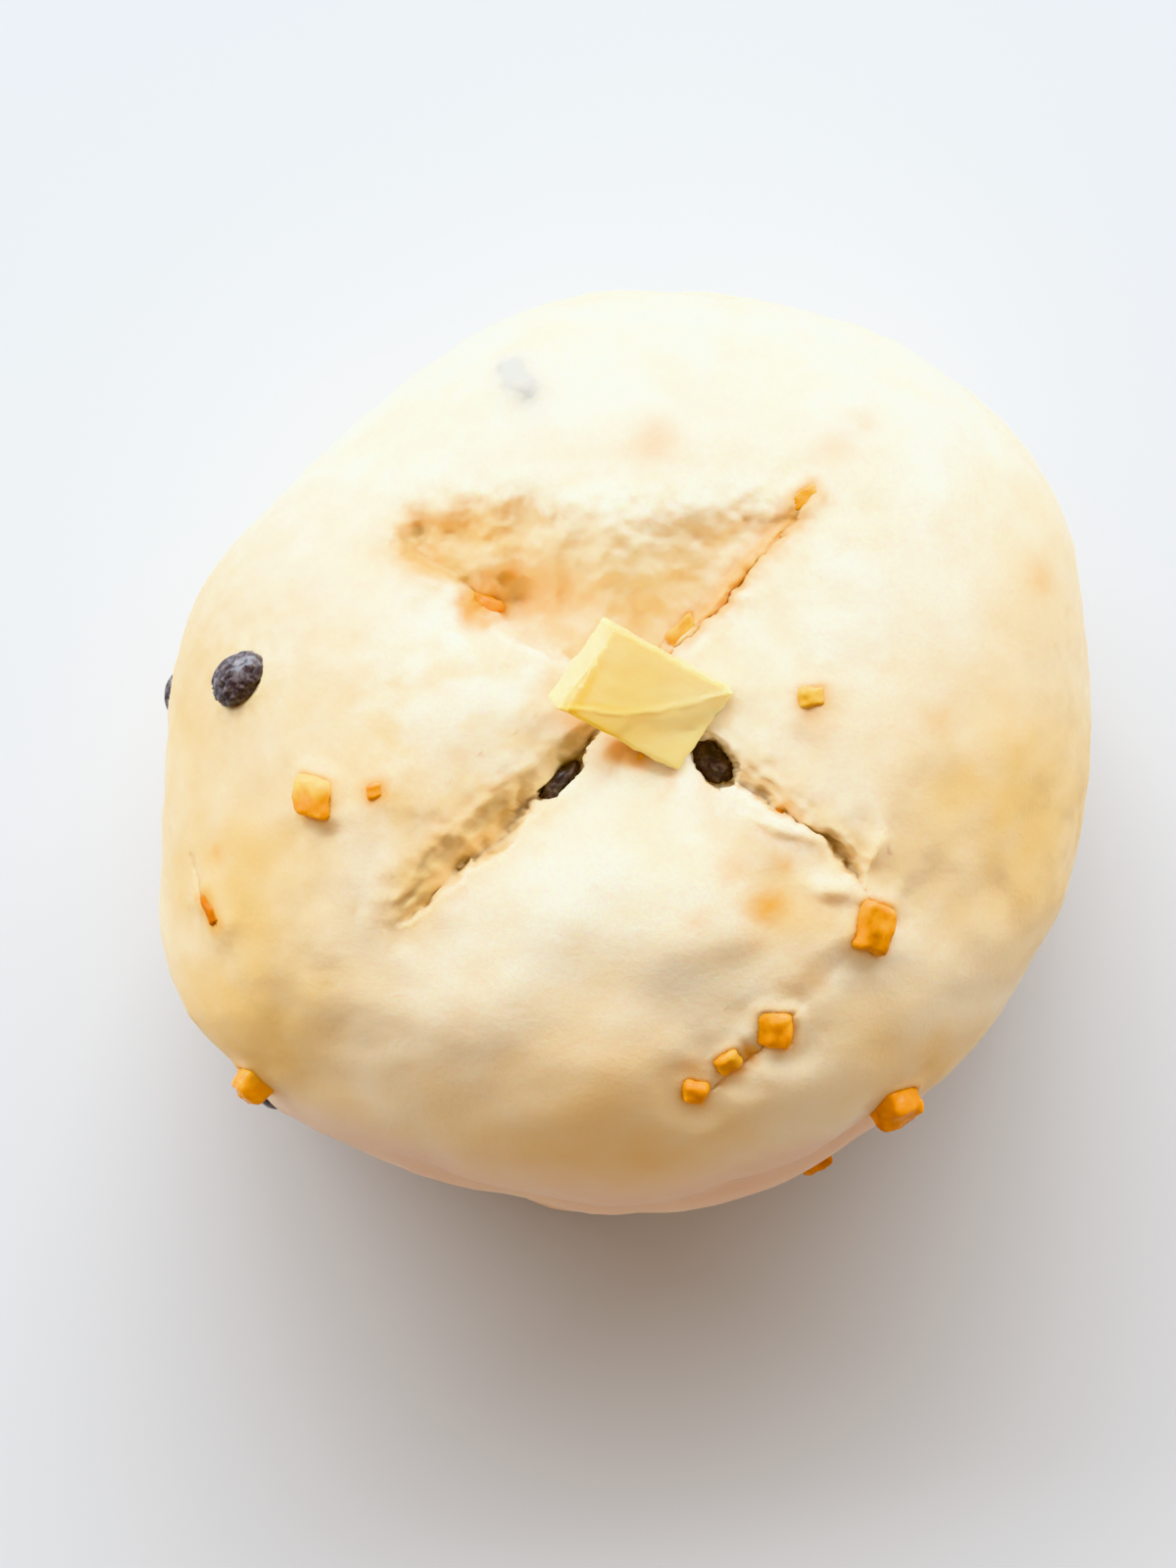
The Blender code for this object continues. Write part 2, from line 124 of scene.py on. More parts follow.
def copy_of_solid(node):
    """A copy of a solid with its loose triangles merged into one skin."""
    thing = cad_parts[node].copy()
    thing.data = thing.data.copy()
    thing.parent = None
    thing.matrix_world = Matrix.Identity(4)
    thing.name = node + "_piece"
    bpy.context.scene.collection.objects.link(thing)
    only(thing)
    bpy.ops.object.mode_set(mode="EDIT")
    bpy.ops.mesh.select_all(action="SELECT")
    bpy.ops.mesh.remove_doubles(threshold=0.00001)
    bpy.ops.object.mode_set(mode="OBJECT")
    thing.data.materials.clear()
    return thing


def apply_modifier(thing, kind, **settings):
    """Adds a modifier with its settings and applies it."""
    only(thing)
    modifier = thing.modifiers.new(kind.lower(), kind)
    for name, value in settings.items():
        setattr(modifier, name, value)
    bpy.ops.object.modifier_apply(modifier=modifier.name)


# %% Reading and moving points
def points_of(thing):
    """The places of an object's points, as rows of x, y and z."""
    places = np.empty(len(thing.data.vertices) * 3)
    thing.data.vertices.foreach_get("co", places)
    return places.reshape(-1, 3)


def move_points(thing, places):
    thing.data.vertices.foreach_set("co", np.asarray(places, dtype=np.float32).ravel())
    thing.data.update()


def normals_of(thing):
    """The direction in which the surface faces at each point."""
    ways = np.empty(len(thing.data.vertices) * 3, dtype=np.float32)
    thing.data.vertex_normals.foreach_get("vector", ways)
    return ways.reshape(-1, 3)


# %% Random heights and soft steps
def clouds(places, size, octaves=2, stretch=(1, 1, 1), shift=0.0):
    """Smooth random heights, about -1 to 1, with lumps of a given size. A shift gives others."""
    scaled = np.asarray(places) / size / np.asarray(stretch) + shift
    return np.array([noise.fractal(Vector(place), 1.0, 2.0, octaves) for place in scaled])


def smooth(share):
    """A soft step from 0 to 1."""
    share = np.clip(share, 0, 1)
    return share * share * (3 - 2 * share)


def bell(distance):
    """1 at no distance, fading softly to 0 on both sides."""
    return np.exp(-(distance**2))


# %% Building materials
def new_material(name, **settings):
    """A material, its nodes and its shader, with some of the shader's inputs set."""
    material = bpy.data.materials.new(name)
    material.use_nodes = True
    shader = material.node_tree.nodes["Principled BSDF"]
    for setting, value in settings.items():
        shader.inputs[setting.replace("_", " ")].default_value = value
    return material, material.node_tree, shader


def add_node(tree, kind, **inputs):
    """A node with some inputs set: a number or colour is a value, and a socket is a link."""
    made = tree.nodes.new(kind)
    for name, value in inputs.items():
        socket = made.inputs[name.replace("_", " ")]
        if isinstance(value, bpy.types.NodeSocket):
            tree.links.new(value, socket)
        else:
            socket.default_value = value
    return made


def noise_node(tree, scale, detail=3.0, rough=0.5, stretch=(1, 1, 1)):
    """Noise in object space. The scale is in lumps per metre."""
    where = add_node(tree, "ShaderNodeTexCoord").outputs["Object"]
    turned = add_node(tree, "ShaderNodeMapping", Vector=where, Scale=stretch).outputs["Vector"]
    made = add_node(tree, "ShaderNodeTexNoise", Vector=turned, Scale=scale, Detail=detail, Roughness=rough)
    return made.outputs["Fac"]


def add_bump(tree, shader, source, strength, distance):
    """Grain that is too fine to model. Only the light sees it."""
    bump = add_node(tree, "ShaderNodeBump", Height=source, Strength=strength, Distance=distance)
    tree.links.new(bump.outputs["Normal"], shader.inputs["Normal"])


# %% Ramps and blends
def ramp(tree, source, low, high, bottom=0.0, top=1.0):
    """Maps a range of values to another, clamped."""
    made = add_node(tree, "ShaderNodeMapRange", Value=source)
    made.inputs["From Min"].default_value = low
    made.inputs["From Max"].default_value = high
    made.inputs["To Min"].default_value = bottom
    made.inputs["To Max"].default_value = top
    return made.outputs["Result"]


def blend(tree, share, first, second):
    """One colour laid over another by a share."""
    made = tree.nodes.new("ShaderNodeMix")
    made.data_type = "RGBA"
    for socket, value in ((made.inputs[0], share), (made.inputs[6], first), (made.inputs[7], second)):
        if isinstance(value, bpy.types.NodeSocket):
            tree.links.new(value, socket)
        elif isinstance(value, float):
            socket.default_value = value
        else:
            socket.default_value = (*value, 1)
    return made.outputs[2]


# %% Painted numbers and layers of colour
def attribute(tree, name):
    """A number that was painted on the points, as a value in a material."""
    made = tree.nodes.new("ShaderNodeAttribute")
    made.attribute_name = name
    return made.outputs["Fac"]


def paint(thing, name, values):
    """Keeps one number for each point, which a material can read."""
    layer = thing.data.attributes.new(name, "FLOAT", "POINT")
    layer.data.foreach_set("value", np.asarray(values, dtype=np.float32))


def layered(tree, colour, layers):
    """Lays colours over another, each where a number on the points is more than its start."""
    for name, start, full, strength, over in layers:
        share = ramp(tree, attribute(tree, name), start, full, 0.0, strength)
        colour = blend(tree, share, colour, over)
    return colour


def share_of(values):
    """The share of the points that have more than a fifth of something."""
    return round(float((values > 0.2).mean()), 3)


# %% [markdown]
# ## The dough
#
# Soft risen dough sags into a low dome with a tucked foot. A cross is cut into its top. The far
# quarter is pulled open, so a rough face shows there, and the other quarters keep their skin.
#
# It could be sculpted by hand or built up from a subdivided cube. Here a flat grid is divided finely
# where detail is needed and then wrapped over the ball by formulas. That keeps the cuts crisp, and
# every measure has a name.

# %% The ball's measures
def place(x, y):
    """A point seen from above, given in millimetres."""
    return Vector((x, y)) * MM


# Where the arms of the cross meet.
CROSSING = place(-1.1, 7.2)
BALL_RADIUS = 78.2 * MM
BALL_HEIGHT = 95.0 * MM
BELT_HEIGHT = 38.0 * MM
SHOULDER_FULLNESS = 0.90
TUCK_ANGLE = math.radians(150)
TUCK_SHARE = 0.70
SINK_BELOW_TABLE = 4.0 * MM
# Waves of the outline: (crests, share of the radius, azimuth of a crest in degrees).
OUTLINE_WAVES = (
    (1, 0.0135, 312),
    (2, 0.0548, 39),
    (3, 0.0134, 75),
    (4, 0.0110, 35),
    (6, 0.0155, 38),
    (7, 0.0066, 2),
)
# Slow swells of the skin: (height, length, azimuth of travel in degrees, start as a share of the length).
SKIN_WAVES = (
    (0.5 * MM, 58 * MM, 20, 0.1),
    (0.5 * MM, 47 * MM, 115, 0.6),
    (0.3 * MM, 31 * MM, 70, 0.3),
    (0.25 * MM, 24 * MM, 160, 0.8),
)
SKIN_WAVE_CLIMB = 0.6
# The lobes that droop over the foot: (azimuth in degrees, half width in degrees, how far out).
FOOT_LOBES = ((238, 11, 3.0 * MM), (263, 16, 9.0 * MM), (287, 13, 5.0 * MM))
FOOT_LOBE_HEIGHT = 8.0 * MM
FOOT_LOBE_THICKNESS = 4.0 * MM
# The ball is worked out round its crossing, and then moved so that its footprint is centred.
CENTRING = Vector((0.67, 1.83, 0.0)) * MM
print("ball, mm", round(2 * BALL_RADIUS / MM, 1), "across and", round(BALL_HEIGHT / MM, 1), "high")


# %% The plain ball
def outline_radius(azimuth):
    waves = sum(share * np.cos(crests * (azimuth - math.radians(at))) for crests, share, at in OUTLINE_WAVES)
    return BALL_RADIUS * (1 + waves)


def lobe_reach(azimuth, height):
    """How far the lobes at the foot stand out."""
    out = np.zeros_like(azimuth)
    for at, half_width, reach in FOOT_LOBES:
        turn = (np.degrees(azimuth) - at + 180) % 360 - 180
        out = np.maximum(out, reach * bell(turn / half_width))
    return out * bell((height - FOOT_LOBE_HEIGHT) / FOOT_LOBE_THICKNESS)


def plain_ball(azimuth, share):
    """The ball before it is cut: a rounded dome above its belt, tucked in below it."""
    tip = share * TUCK_ANGLE
    above = tip <= math.pi / 2
    reach = np.where(above, np.sin(tip), TUCK_SHARE + (1 - TUCK_SHARE) * np.sin(tip))
    drop = np.abs(np.cos(tip))
    dome = BELT_HEIGHT + (BALL_HEIGHT - BELT_HEIGHT) * drop**SHOULDER_FULLNESS
    tuck = BELT_HEIGHT - (BELT_HEIGHT + SINK_BELOW_TABLE) * drop / abs(math.cos(TUCK_ANGLE))
    height = np.where(above, dome, tuck)
    radius = reach * outline_radius(azimuth) + lobe_reach(azimuth, height)
    x = CROSSING.x * (1 - reach) + radius * np.cos(azimuth)
    y = CROSSING.y * (1 - reach) + radius * np.sin(azimuth)
    return x, y, height, reach


def skin_waves(x, y, z):
    total = np.zeros_like(x)
    for height, length, bearing, start in SKIN_WAVES:
        way = math.radians(bearing)
        travel = x * math.cos(way) + y * math.sin(way) + SKIN_WAVE_CLIMB * z
        total += height * np.sin(2 * math.pi * (travel / length + start))
    return total


# %% [markdown]
# ### The cuts
#
# A blade leaves a wall on each side of its line. One wall rolls over its edge like a lip, and the
# other, where the dough was dragged, slopes as a rough face. Each arm of the cross is a pair of such
# walls, and so are the small creases. A blade-shaped solid could be cut out of the ball, but a depth
# that is worked out on each side of a line leaves the skin whole and lets it roll into the cut.


# %% Describing a cut and an oval
def face(width, widest_at, at_start=0.55, bend=1.0):
    """A sloping wall: its width, where along the cut it is widest, and its share of that at the start.

    A bend of 1 is a straight slope. With more bend it is steep at the line and blends into the skin.
    """
    return {"width": width * MM, "widest_at": widest_at, "at_start": at_start, "bend": bend}


def lip(width, widest_at, at_start=0.55):
    """A wall that rolls over its edge."""
    return {"width": width * MM, "widest_at": widest_at, "at_start": at_start, "bend": None}


def cut(start, end, depth, left, right, bow=0.0):
    """A cut with its two walls. Left and right are as seen by someone who walks from start to end."""
    return {"start": start, "end": end, "depth": depth * MM, "left": left, "right": right, "bow": bow * MM}


def oval(x, y, long, short, turn, strength):
    """A soft oval: its middle and half axes in millimetres, its turn in degrees, and its strength."""
    return place(x, y), (long * MM, short * MM), turn, strength


def ovals(*rows):
    """Several ovals, one for each row of numbers."""
    return [oval(*row) for row in rows]


# %% The cuts' measures
CROSS_ARMS = (
    cut(CROSSING, place(29.9, 40.5), 5, face(3.0, 0.7, 0.3, 1.4), lip(3.0, 0.4), -1),
    cut(CROSSING, place(-37.4, 31.5), 4, lip(5, 0.4), face(4, 0.6), -2),
    cut(CROSSING, place(-37.5, -29.5), 5.5, face(2.0, 0.3, 0.6, 1.6), face(7.0, 0.75, 0.12, 2.0), 1),
    cut(CROSSING, place(34.0, -17.6), 4.5, face(4.5, 0.4, 0.3, 1.8), lip(2.0, 0.3)),
)
CREASES = (
    cut(place(28, -13), place(37.5, -24), 2.6, face(2.2, 0.4), lip(2.0, 0.4), 1),
    cut(place(38, -29), place(24, -44), 0.7, lip(5, 0.3), face(4, 0.4)),
    cut(place(26, -42), place(13, -55), 1.7, lip(4, 0.3), face(3, 0.4)),
    cut(place(-71.7, -17.1), place(-65.2, -29.1), 1.8, lip(1.6, 0.5), lip(1.6, 0.5)),
    cut(place(27.5, 36.5), place(16.5, 36.2), 2.2, face(2.0, 0.3), lip(1.6, 0.4), 1),
)
LEAST_WIDTH = 0.2 * MM
# Soft dents, and bumps where the depth, which comes last, is less than 0.
DENTS = ovals(
    (-19.0, 22.8, 9.0, 4.0, 4, 5.0 * MM),
    (-27.0, 34.0, 12.0, 6.0, -10, 2.2 * MM),
    (13.5, 33.0, 9.0, 5.0, 35, 1.4 * MM),
    (-23.3, 22.4, 2.4, 3.0, 20, 2.6 * MM),
    (-17.3, 24.3, 2.4, 1.3, 10, 1.8 * MM),
    (-34.5, 30.3, 5.0, 1.8, -25, 0.9 * MM),
    (-4.0, 29.0, 9.0, 8.0, 0, -1.6 * MM),
    (-6.5, 19.0, 3.4, 5.0, 0, -1.6 * MM),
    (38.3, -16.2, 1.2, 4.4, -14, -2.0 * MM),
    (24.0, -12.9, 7.0, 1.1, -20, -0.8 * MM),
    (32.0, -21.9, 4.6, 1.6, -6, -1.3 * MM),
)
# Pits round the two raisins that lie in the cuts, with their depth last.
PITS = ovals(
    (12.9, -2.3, 4.4, 3.1, -45, 6.0 * MM),
    (-11.1, -5.2, 4.9, 1.8, 43, 5.5 * MM),
)
PIT_EDGE = 0.45
print("arms", len(CROSS_ARMS), "creases", len(CREASES), "dents", len(DENTS), "pits", len(PITS))

# %% The open face's measures
# The open face runs from this crest, seen from above, down to the crossing.
CREST_X = tuple(side * MM for side in (-41, -38, -33, -22, -6, 8, 18, 31))
CREST_Y = tuple(side * MM for side in (29, 37, 41, 42.5, 41.5, 40, 42, 41))
# The crest wavers: (how far, over what length, start of the wave).
CREST_WAVER = ((0.9 * MM, 3.1 * MM, 0), (0.6 * MM, 1.4 * MM, 1))
CREST_WALL = 9.0 * MM
ARM_WALL = 3.5 * MM
CREST_STEP_WEST = 1.7 * MM
CREST_STEP_EAST = 0.4 * MM
FACE_DEPTH = 11.0 * MM
VALLEY_DEPTH = 4.0 * MM
VALLEY_WIDTH = 13.0 * MM
VALLEY_FADE = 0.6
CROSSING_DIP = 7.0 * MM
CROSSING_DIP_WIDTH = 24.0 * MM
print("open face, mm", round((CREST_X[-1] - CREST_X[0]) / MM, 1), "wide")


# %% How deep a cut is
def along_and_aside(line, x, y):
    """How far along a cut each point lies, from 0 to 1, how far to its left, and how far before its start."""
    run = line["end"] - line["start"]
    ahead = ((x - line["start"].x) * run.x + (y - line["start"].y) * run.y) / run.length
    aside = ((y - line["start"].y) * run.x - (x - line["start"].x) * run.y) / run.length
    along = ahead / run.length
    aside = aside - line["bow"] * np.sin(math.pi * np.clip(along, 0, 1))
    return along, aside, np.where(along < 0, -ahead, 0)


def width_along(side, along):
    """A wall's width: full where it is widest, and none at the cut's far end."""
    ahead = np.clip((along - side["widest_at"]) / (1 - side["widest_at"]), 0, 1)
    behind = np.clip((side["widest_at"] - along) / side["widest_at"], 0, 1)
    width = side["width"] * (1 - ahead**2) * (1 - (1 - side["at_start"]) * behind**2)
    return np.maximum(width, LEAST_WIDTH)


def wall(distance, width, bend):
    """How deep a cut is at a distance from its line, from 1 at the line to 0 where its wall ends."""
    left = 1 - np.clip(distance / width, 0, 1)
    return 1 - np.sqrt(1 - left**2) if bend is None else left**bend


def cut_depth(line, x, y, both_ends=False):
    """How much a cut takes off the surface at each point. It fades out at its end, or at both ends."""
    along, aside, before = along_and_aside(line, x, y)
    inside = np.clip(along, 0, 1)
    distance = np.hypot(aside, before)
    strength = np.sqrt(np.sin(math.pi * inside)) if both_ends else 1 - inside**3
    left, right = (
        wall(distance, width_along(line[side], inside), line[side]["bend"]) for side in ("left", "right")
    )
    return line["depth"] * strength * np.where(aside > 0, left, right) * (along < 1)


# %% How deep the open face is
def open_face(x, y):
    """How far each point lies inside the open face, from 0 to 1, and how far it is below the crest."""
    waver = sum(far * np.sin(x / length + start) for far, length, start in CREST_WAVER)
    below = np.interp(x, CREST_X, CREST_Y) + waver - y
    inside = smooth(below / CREST_WALL)
    for arm, side in zip(CROSS_ARMS[:2], (1, -1)):
        run = (arm["end"] - arm["start"]).normalized()
        away = side * ((y - arm["start"].y) * run.x - (x - arm["start"].x) * run.y)
        inside = inside * smooth(away / ARM_WALL + 0.5)
    return inside, below


def face_depth(x, y):
    inside, below = open_face(x, y)
    step = np.interp(x, (CREST_X[2], 0.0), (CREST_STEP_WEST, CREST_STEP_EAST))
    fall = np.clip(below / (CREST_Y[4] - CROSSING.y), 0, 1)
    return inside * (step + (FACE_DEPTH - step) * fall)


def valley_depth(x, y):
    """The wide, soft dip along the arms, which leaves the four quarters puffed up between them."""
    dip = np.zeros_like(x)
    for arm in CROSS_ARMS:
        run = arm["end"] - arm["start"]
        along = ((x - arm["start"].x) * run.x + (y - arm["start"].y) * run.y) / run.length_squared
        near = np.clip(along, 0, 1)
        away = np.hypot(x - arm["start"].x - near * run.x, y - arm["start"].y - near * run.y)
        dip = np.maximum(dip, (1 - VALLEY_FADE * near**2) * bell(away / VALLEY_WIDTH))
    middle = np.hypot(x - CROSSING.x, y - CROSSING.y) / CROSSING_DIP_WIDTH
    return VALLEY_DEPTH * dip + CROSSING_DIP * bell(middle)


# %% How deep the dents and pits are
def oval_share(spot, x, y):
    """1 in the middle of a soft oval, fading to 0 round it."""
    middle, (long, short), turn, _ = spot
    way = math.radians(turn)
    ahead = (x - middle.x) * math.cos(way) + (y - middle.y) * math.sin(way)
    aside = (y - middle.y) * math.cos(way) - (x - middle.x) * math.sin(way)
    return np.exp(-((ahead / long) ** 2) - (aside / short) ** 2)


def pit_share(pit, x, y):
    """An oval with a flat bottom and steep sides."""
    from_middle = np.sqrt(-np.log(np.maximum(oval_share(pit, x, y), 1e-12)))
    return smooth((1 + PIT_EDGE / 2 - from_middle) / PIT_EDGE)


def strongest(spots, x, y):
    """The strength of the strongest of some ovals at each point."""
    return np.max([spot[3] * oval_share(spot, x, y) for spot in spots], axis=0)


# %% All that is carved
def carved(x, y):
    """All that the cuts take off the top."""
    cuts = [cut_depth(arm, x, y) for arm in CROSS_ARMS]
    cuts += [cut_depth(crease, x, y, both_ends=True) for crease in CREASES]
    cuts += [face_depth(x, y)] + [pit[3] * pit_share(pit, x, y) for pit in PITS]
    dents = sum(dent[3] * oval_share(dent, x, y) for dent in DENTS)
    return np.maximum(np.max(cuts, axis=0), 0) + valley_depth(x, y) + dents


print("deepest cut, mm", round(float(carved(np.array([CROSSING.x]), np.array([CROSSING.y]))[0] / MM), 1))

# %% [markdown]
# ### Wrapping the grid
#
# The grid's middle lines follow the four arms of the cross, and its lines crowd together near them.
# Its faces are divided again near the cuts, in the open face and round the fruit. A grid that is as
# fine all over would look the same, but it would have several times the faces.

# %% From the flat grid to the ball
GRID_FACES = 150
GRID_BUNCHING = 0.30
ARM_BEARINGS = (50.8, 141.5, 220.8, 328.7)


def wrapped(u, v):
    """Azimuths and shares, from 0 at the crossing to 1 at the foot, of points on a grid from -1 to 1."""
    u, v = ((1 - GRID_BUNCHING) * line + GRID_BUNCHING * line**3 for line in (u, v))
    east, north = u * np.sqrt(1 - v**2 / 2), v * np.sqrt(1 - u**2 / 2)
    turn = np.degrees(np.arctan2(north, east)) % 360
    ne, nw, sw, se = ARM_BEARINGS
    azimuth = np.radians(np.interp(turn, (0, 90, 180, 270, 360), (se - 360, ne, nw, sw, se)))
    return azimuth, np.minimum(np.hypot(east, north), 1.0)


# %% Wrapping the grid round the ball
# The blade's lines waver a little: (how far, over what length).
WAVER = ((0.9 * MM, 6.0 * MM), (0.4 * MM, 2.2 * MM))


def wavered(x, y):
    """The points at which the cuts are looked up, a little beside the real ones."""
    places = np.column_stack([x, y, np.zeros(len(x))])
    sideways = sum(far * clouds(places, length, 2, shift=31.0) for far, length in WAVER)
    onward = sum(far * clouds(places, length, 2, shift=57.0) for far, length in WAVER)
    return x + sideways, y + onward


def dough_surface(u, v):
    """Where each grid point lies on the cut ball."""
    azimuth, share = wrapped(u, v)
    x, y, z, reach = plain_ball(azimuth, share)
    swell = skin_waves(x, y, z)
    x = x + swell * np.cos(azimuth) * reach**2
    y = y + swell * np.sin(azimuth) * reach**2
    above = z > BELT_HEIGHT
    z = z + np.where(above, swell * (1 - reach**2), 0)
    z = z - np.where(above, carved(*wavered(x, y)), 0)
    return np.column_stack([x, y, z]) + np.array(CENTRING)


# %% Where the fruit is
def middle_and_size(node):
    low, high = (np.array(corner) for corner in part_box(node))
    return (low + high) / 2, float(np.mean(high - low)) / 2


FRUIT_SPOTS = {node: middle_and_size(node) for node in fruit_nodes}


def distance_to_fruit(places):
    """Roughly how far each place is from the nearest fruit."""
    away = [np.linalg.norm(places - middle, axis=1) - size for middle, size in FRUIT_SPOTS.values()]
    return np.min(away, axis=0)


def gap_to(node, places):
    """How far each place is from one piece of fruit, less than 0 inside it. Far off, its middle counts."""
    middle, size = FRUIT_SPOTS[node]
    gap = np.linalg.norm(places - middle, axis=1)
    for at in np.flatnonzero(gap < 2 * size + 4 * MM):
        spot = Vector(places[at])
        _, on_skin, way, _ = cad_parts[node].closest_point_on_mesh(spot)
        gap[at] = math.copysign((spot - on_skin).length, (spot - on_skin).dot(way))
    return gap


print("largest fruit, half size in mm", round(max(size for _, size in FRUIT_SPOTS.values()) / MM, 1))

# %% How torn the dough is
# How torn each arm of the cross and each crease is.
TORN_STRENGTHS = (1.0, 0.2, 0.9, 0.8, 0.7, 0.0, 0.2, 0.2, 0.7)
TORN_IN_FACE = 0.8
# A rolled wall is torn only near its line: this share of its width.
TORN_LIP = 0.45


def torn_share(x, y):
    """How torn the dough is at each point, seen from above: 1 on the faces of the cuts, 0 on the skin."""
    shares = [TORN_IN_FACE * open_face(x, y)[0]]
    for line, strength in zip(CROSS_ARMS + CREASES, TORN_STRENGTHS):
        along, aside, before = along_and_aside(line, x, y)
        inside = np.clip(along, 0, 1)
        for side, sign in (("left", 1), ("right", -1)):
            reach = width_along(line[side], inside) * (TORN_LIP if line[side]["bend"] is None else 1.0)
            here = smooth((reach - np.hypot(aside, before)) / (0.4 * reach + 1.0 * MM) + 0.3)
            shares.append(strength * here * (sign * aside > 0) * (along < 1) * smooth((1 - inside) / 0.12))
    return np.max(shares, axis=0)


# %% Where the grid is divided again
def needs_detail(places, margin):
    """Which places lie on or near a cut, a dent, a piece of fruit or the lobes at the foot."""
    x, y = places[:, 0] - CENTRING.x, places[:, 1] - CENTRING.y
    top = places[:, 2] > BELT_HEIGHT
    near_cut = np.zeros(len(x), dtype=bool)
    for dx, dy in ((0, 0), (margin, 0), (-margin, 0), (0, margin), (0, -margin)):
        near_cut |= torn_share(x + dx, y + dy) > 0.02
    near_fruit = distance_to_fruit(places) < margin
    for dent in DENTS + PITS:
        near_cut |= (oval_share(dent, x, y) > 0.05) & (min(dent[1]) < margin)
    lobe = lobe_reach(np.arctan2(y, x), np.full(len(x), FOOT_LOBE_HEIGHT)) > 1 * MM
    return (near_cut & top) | near_fruit | (lobe & (places[:, 2] < 20 * MM))


DETAIL_MARGINS = (5 * MM, 1.2 * MM)
bpy.ops.object.select_all(action="DESELECT")
bpy.ops.mesh.primitive_grid_add(x_subdivisions=GRID_FACES, y_subdivisions=GRID_FACES, size=2)
dough = bpy.context.object
dough.name = "dough_piece"
for margin in DETAIL_MARGINS:
    mesh = dough.data
    corners = points_of(dough)
    middles = np.array([corners[list(polygon.vertices)].mean(axis=0) for polygon in mesh.polygons])
    chosen = needs_detail(dough_surface(middles[:, 0], middles[:, 1]), margin)
    bpy.ops.object.mode_set(mode="EDIT")
    bpy.ops.mesh.select_mode(type="FACE")
    bpy.ops.mesh.select_all(action="DESELECT")
    bpy.ops.object.mode_set(mode="OBJECT")
    mesh.polygons.foreach_set("select", chosen)
    bpy.ops.object.mode_set(mode="EDIT")
    bpy.ops.mesh.subdivide(number_cuts=1)
    bpy.ops.object.mode_set(mode="OBJECT")
    print("divided", int(chosen.sum()), "faces, now", len(mesh.polygons))

# %% Wrap it
flat = points_of(dough)
surface = dough_surface(flat[:, 0], flat[:, 1])
move_points(dough, surface)
print("top of the ball, mm", round(surface[:, 2].max() / MM, 1))

# %% [markdown]
# ### Relief
#
# The skin is soft and slightly lumpy. Where the dough is torn it is webbed, pitted and stringy. The
# near quarter is finely wrinkled and has sagged a little, and a fold runs round its foot. Round each
# fruit the dough swells up and turns down where it touches. It could all be sculpted with brushes.
# Here smooth random heights are added up and pushed out along the surface, so that it is real relief
# and every height has a name. Only the finest grain is left to the material.

# %% The relief's measures
# Lumps of the skin and of the torn faces: (height, size).
SKIN_LUMPS = ((0.9 * MM, 14 * MM), (0.55 * MM, 6.0 * MM), (0.16 * MM, 2.4 * MM))
TORN_LUMPS = ((0.60 * MM, 5.5 * MM), (0.22 * MM, 2.4 * MM), (0.08 * MM, 1.1 * MM))
# The skin is lumpy near the cross. Away from it only this share of its lumps is left.
SMOOTH_SKIN = 0.40
LUMPY_REACH = 22 * MM
# How much of the torn lumps the cuts get, and how much more the open face gets.
ROUGH_IN_CUTS = 0.25
ROUGHER_IN_FACE = 0.35
RAGGED_SIZE = 2.6 * MM
RAGGEDNESS = 0.5
STRAND_HEIGHT = 0.55 * MM
STRAND_WIDTH = 1.0 * MM
# How many times longer than wide a string is, and which way the strings run in the two near cuts.
STRAND_STRETCH = 9.0
STRAND_BEARINGS = (222, 322)
PORE_DEPTH = 0.40 * MM
PORE_SPACING = 3.6 * MM
# A pore starts where the random height is more than this, and is full this much above it.
PORE_FROM = 0.30
PORE_EDGE = 0.2
# The top's relief and stains fade in over this height above the belt.
TOP_FADE = 12 * MM

# %% Where the dough is torn
x, y = wavered(surface[:, 0] - CENTRING.x, surface[:, 1] - CENTRING.y)
on_top = smooth((surface[:, 2] - BELT_HEIGHT) / TOP_FADE)
torn = torn_share(x, y) * on_top
ragged = clouds(surface, RAGGED_SIZE, 3, shift=7.0)
torn = smooth(torn + RAGGEDNESS * ragged * (torn > 0.02) * (torn < 0.98))
print("torn share", share_of(torn))


# %% Lumps and strings
def strands(places, bearing, width, stretch):
    """Strings of dough, or wrinkles, that run one way seen from above."""
    way = math.radians(bearing)
    ahead = places[:, 0] * math.cos(way) + places[:, 1] * math.sin(way)
    aside = places[:, 1] * math.cos(way) - places[:, 0] * math.sin(way)
    # Height counts as much as the distance aside, so that strings on a steep wall aren't wider.
    turned = np.column_stack([ahead, 0.7 * aside + 0.7 * places[:, 2], np.zeros(len(places))])
    return clouds(turned, width, 2, stretch=(stretch, 1, 1), shift=13.0)


def distance_to_arms(x, y):
    """How far each point is from the nearest arm of the cross, seen from above."""
    away = []
    for arm in CROSS_ARMS:
        along, aside, before = along_and_aside(arm, x, y)
        after = np.maximum(along - 1, 0) * (arm["end"] - arm["start"]).length
        away.append(np.hypot(aside, before + after))
    return np.min(away, axis=0)


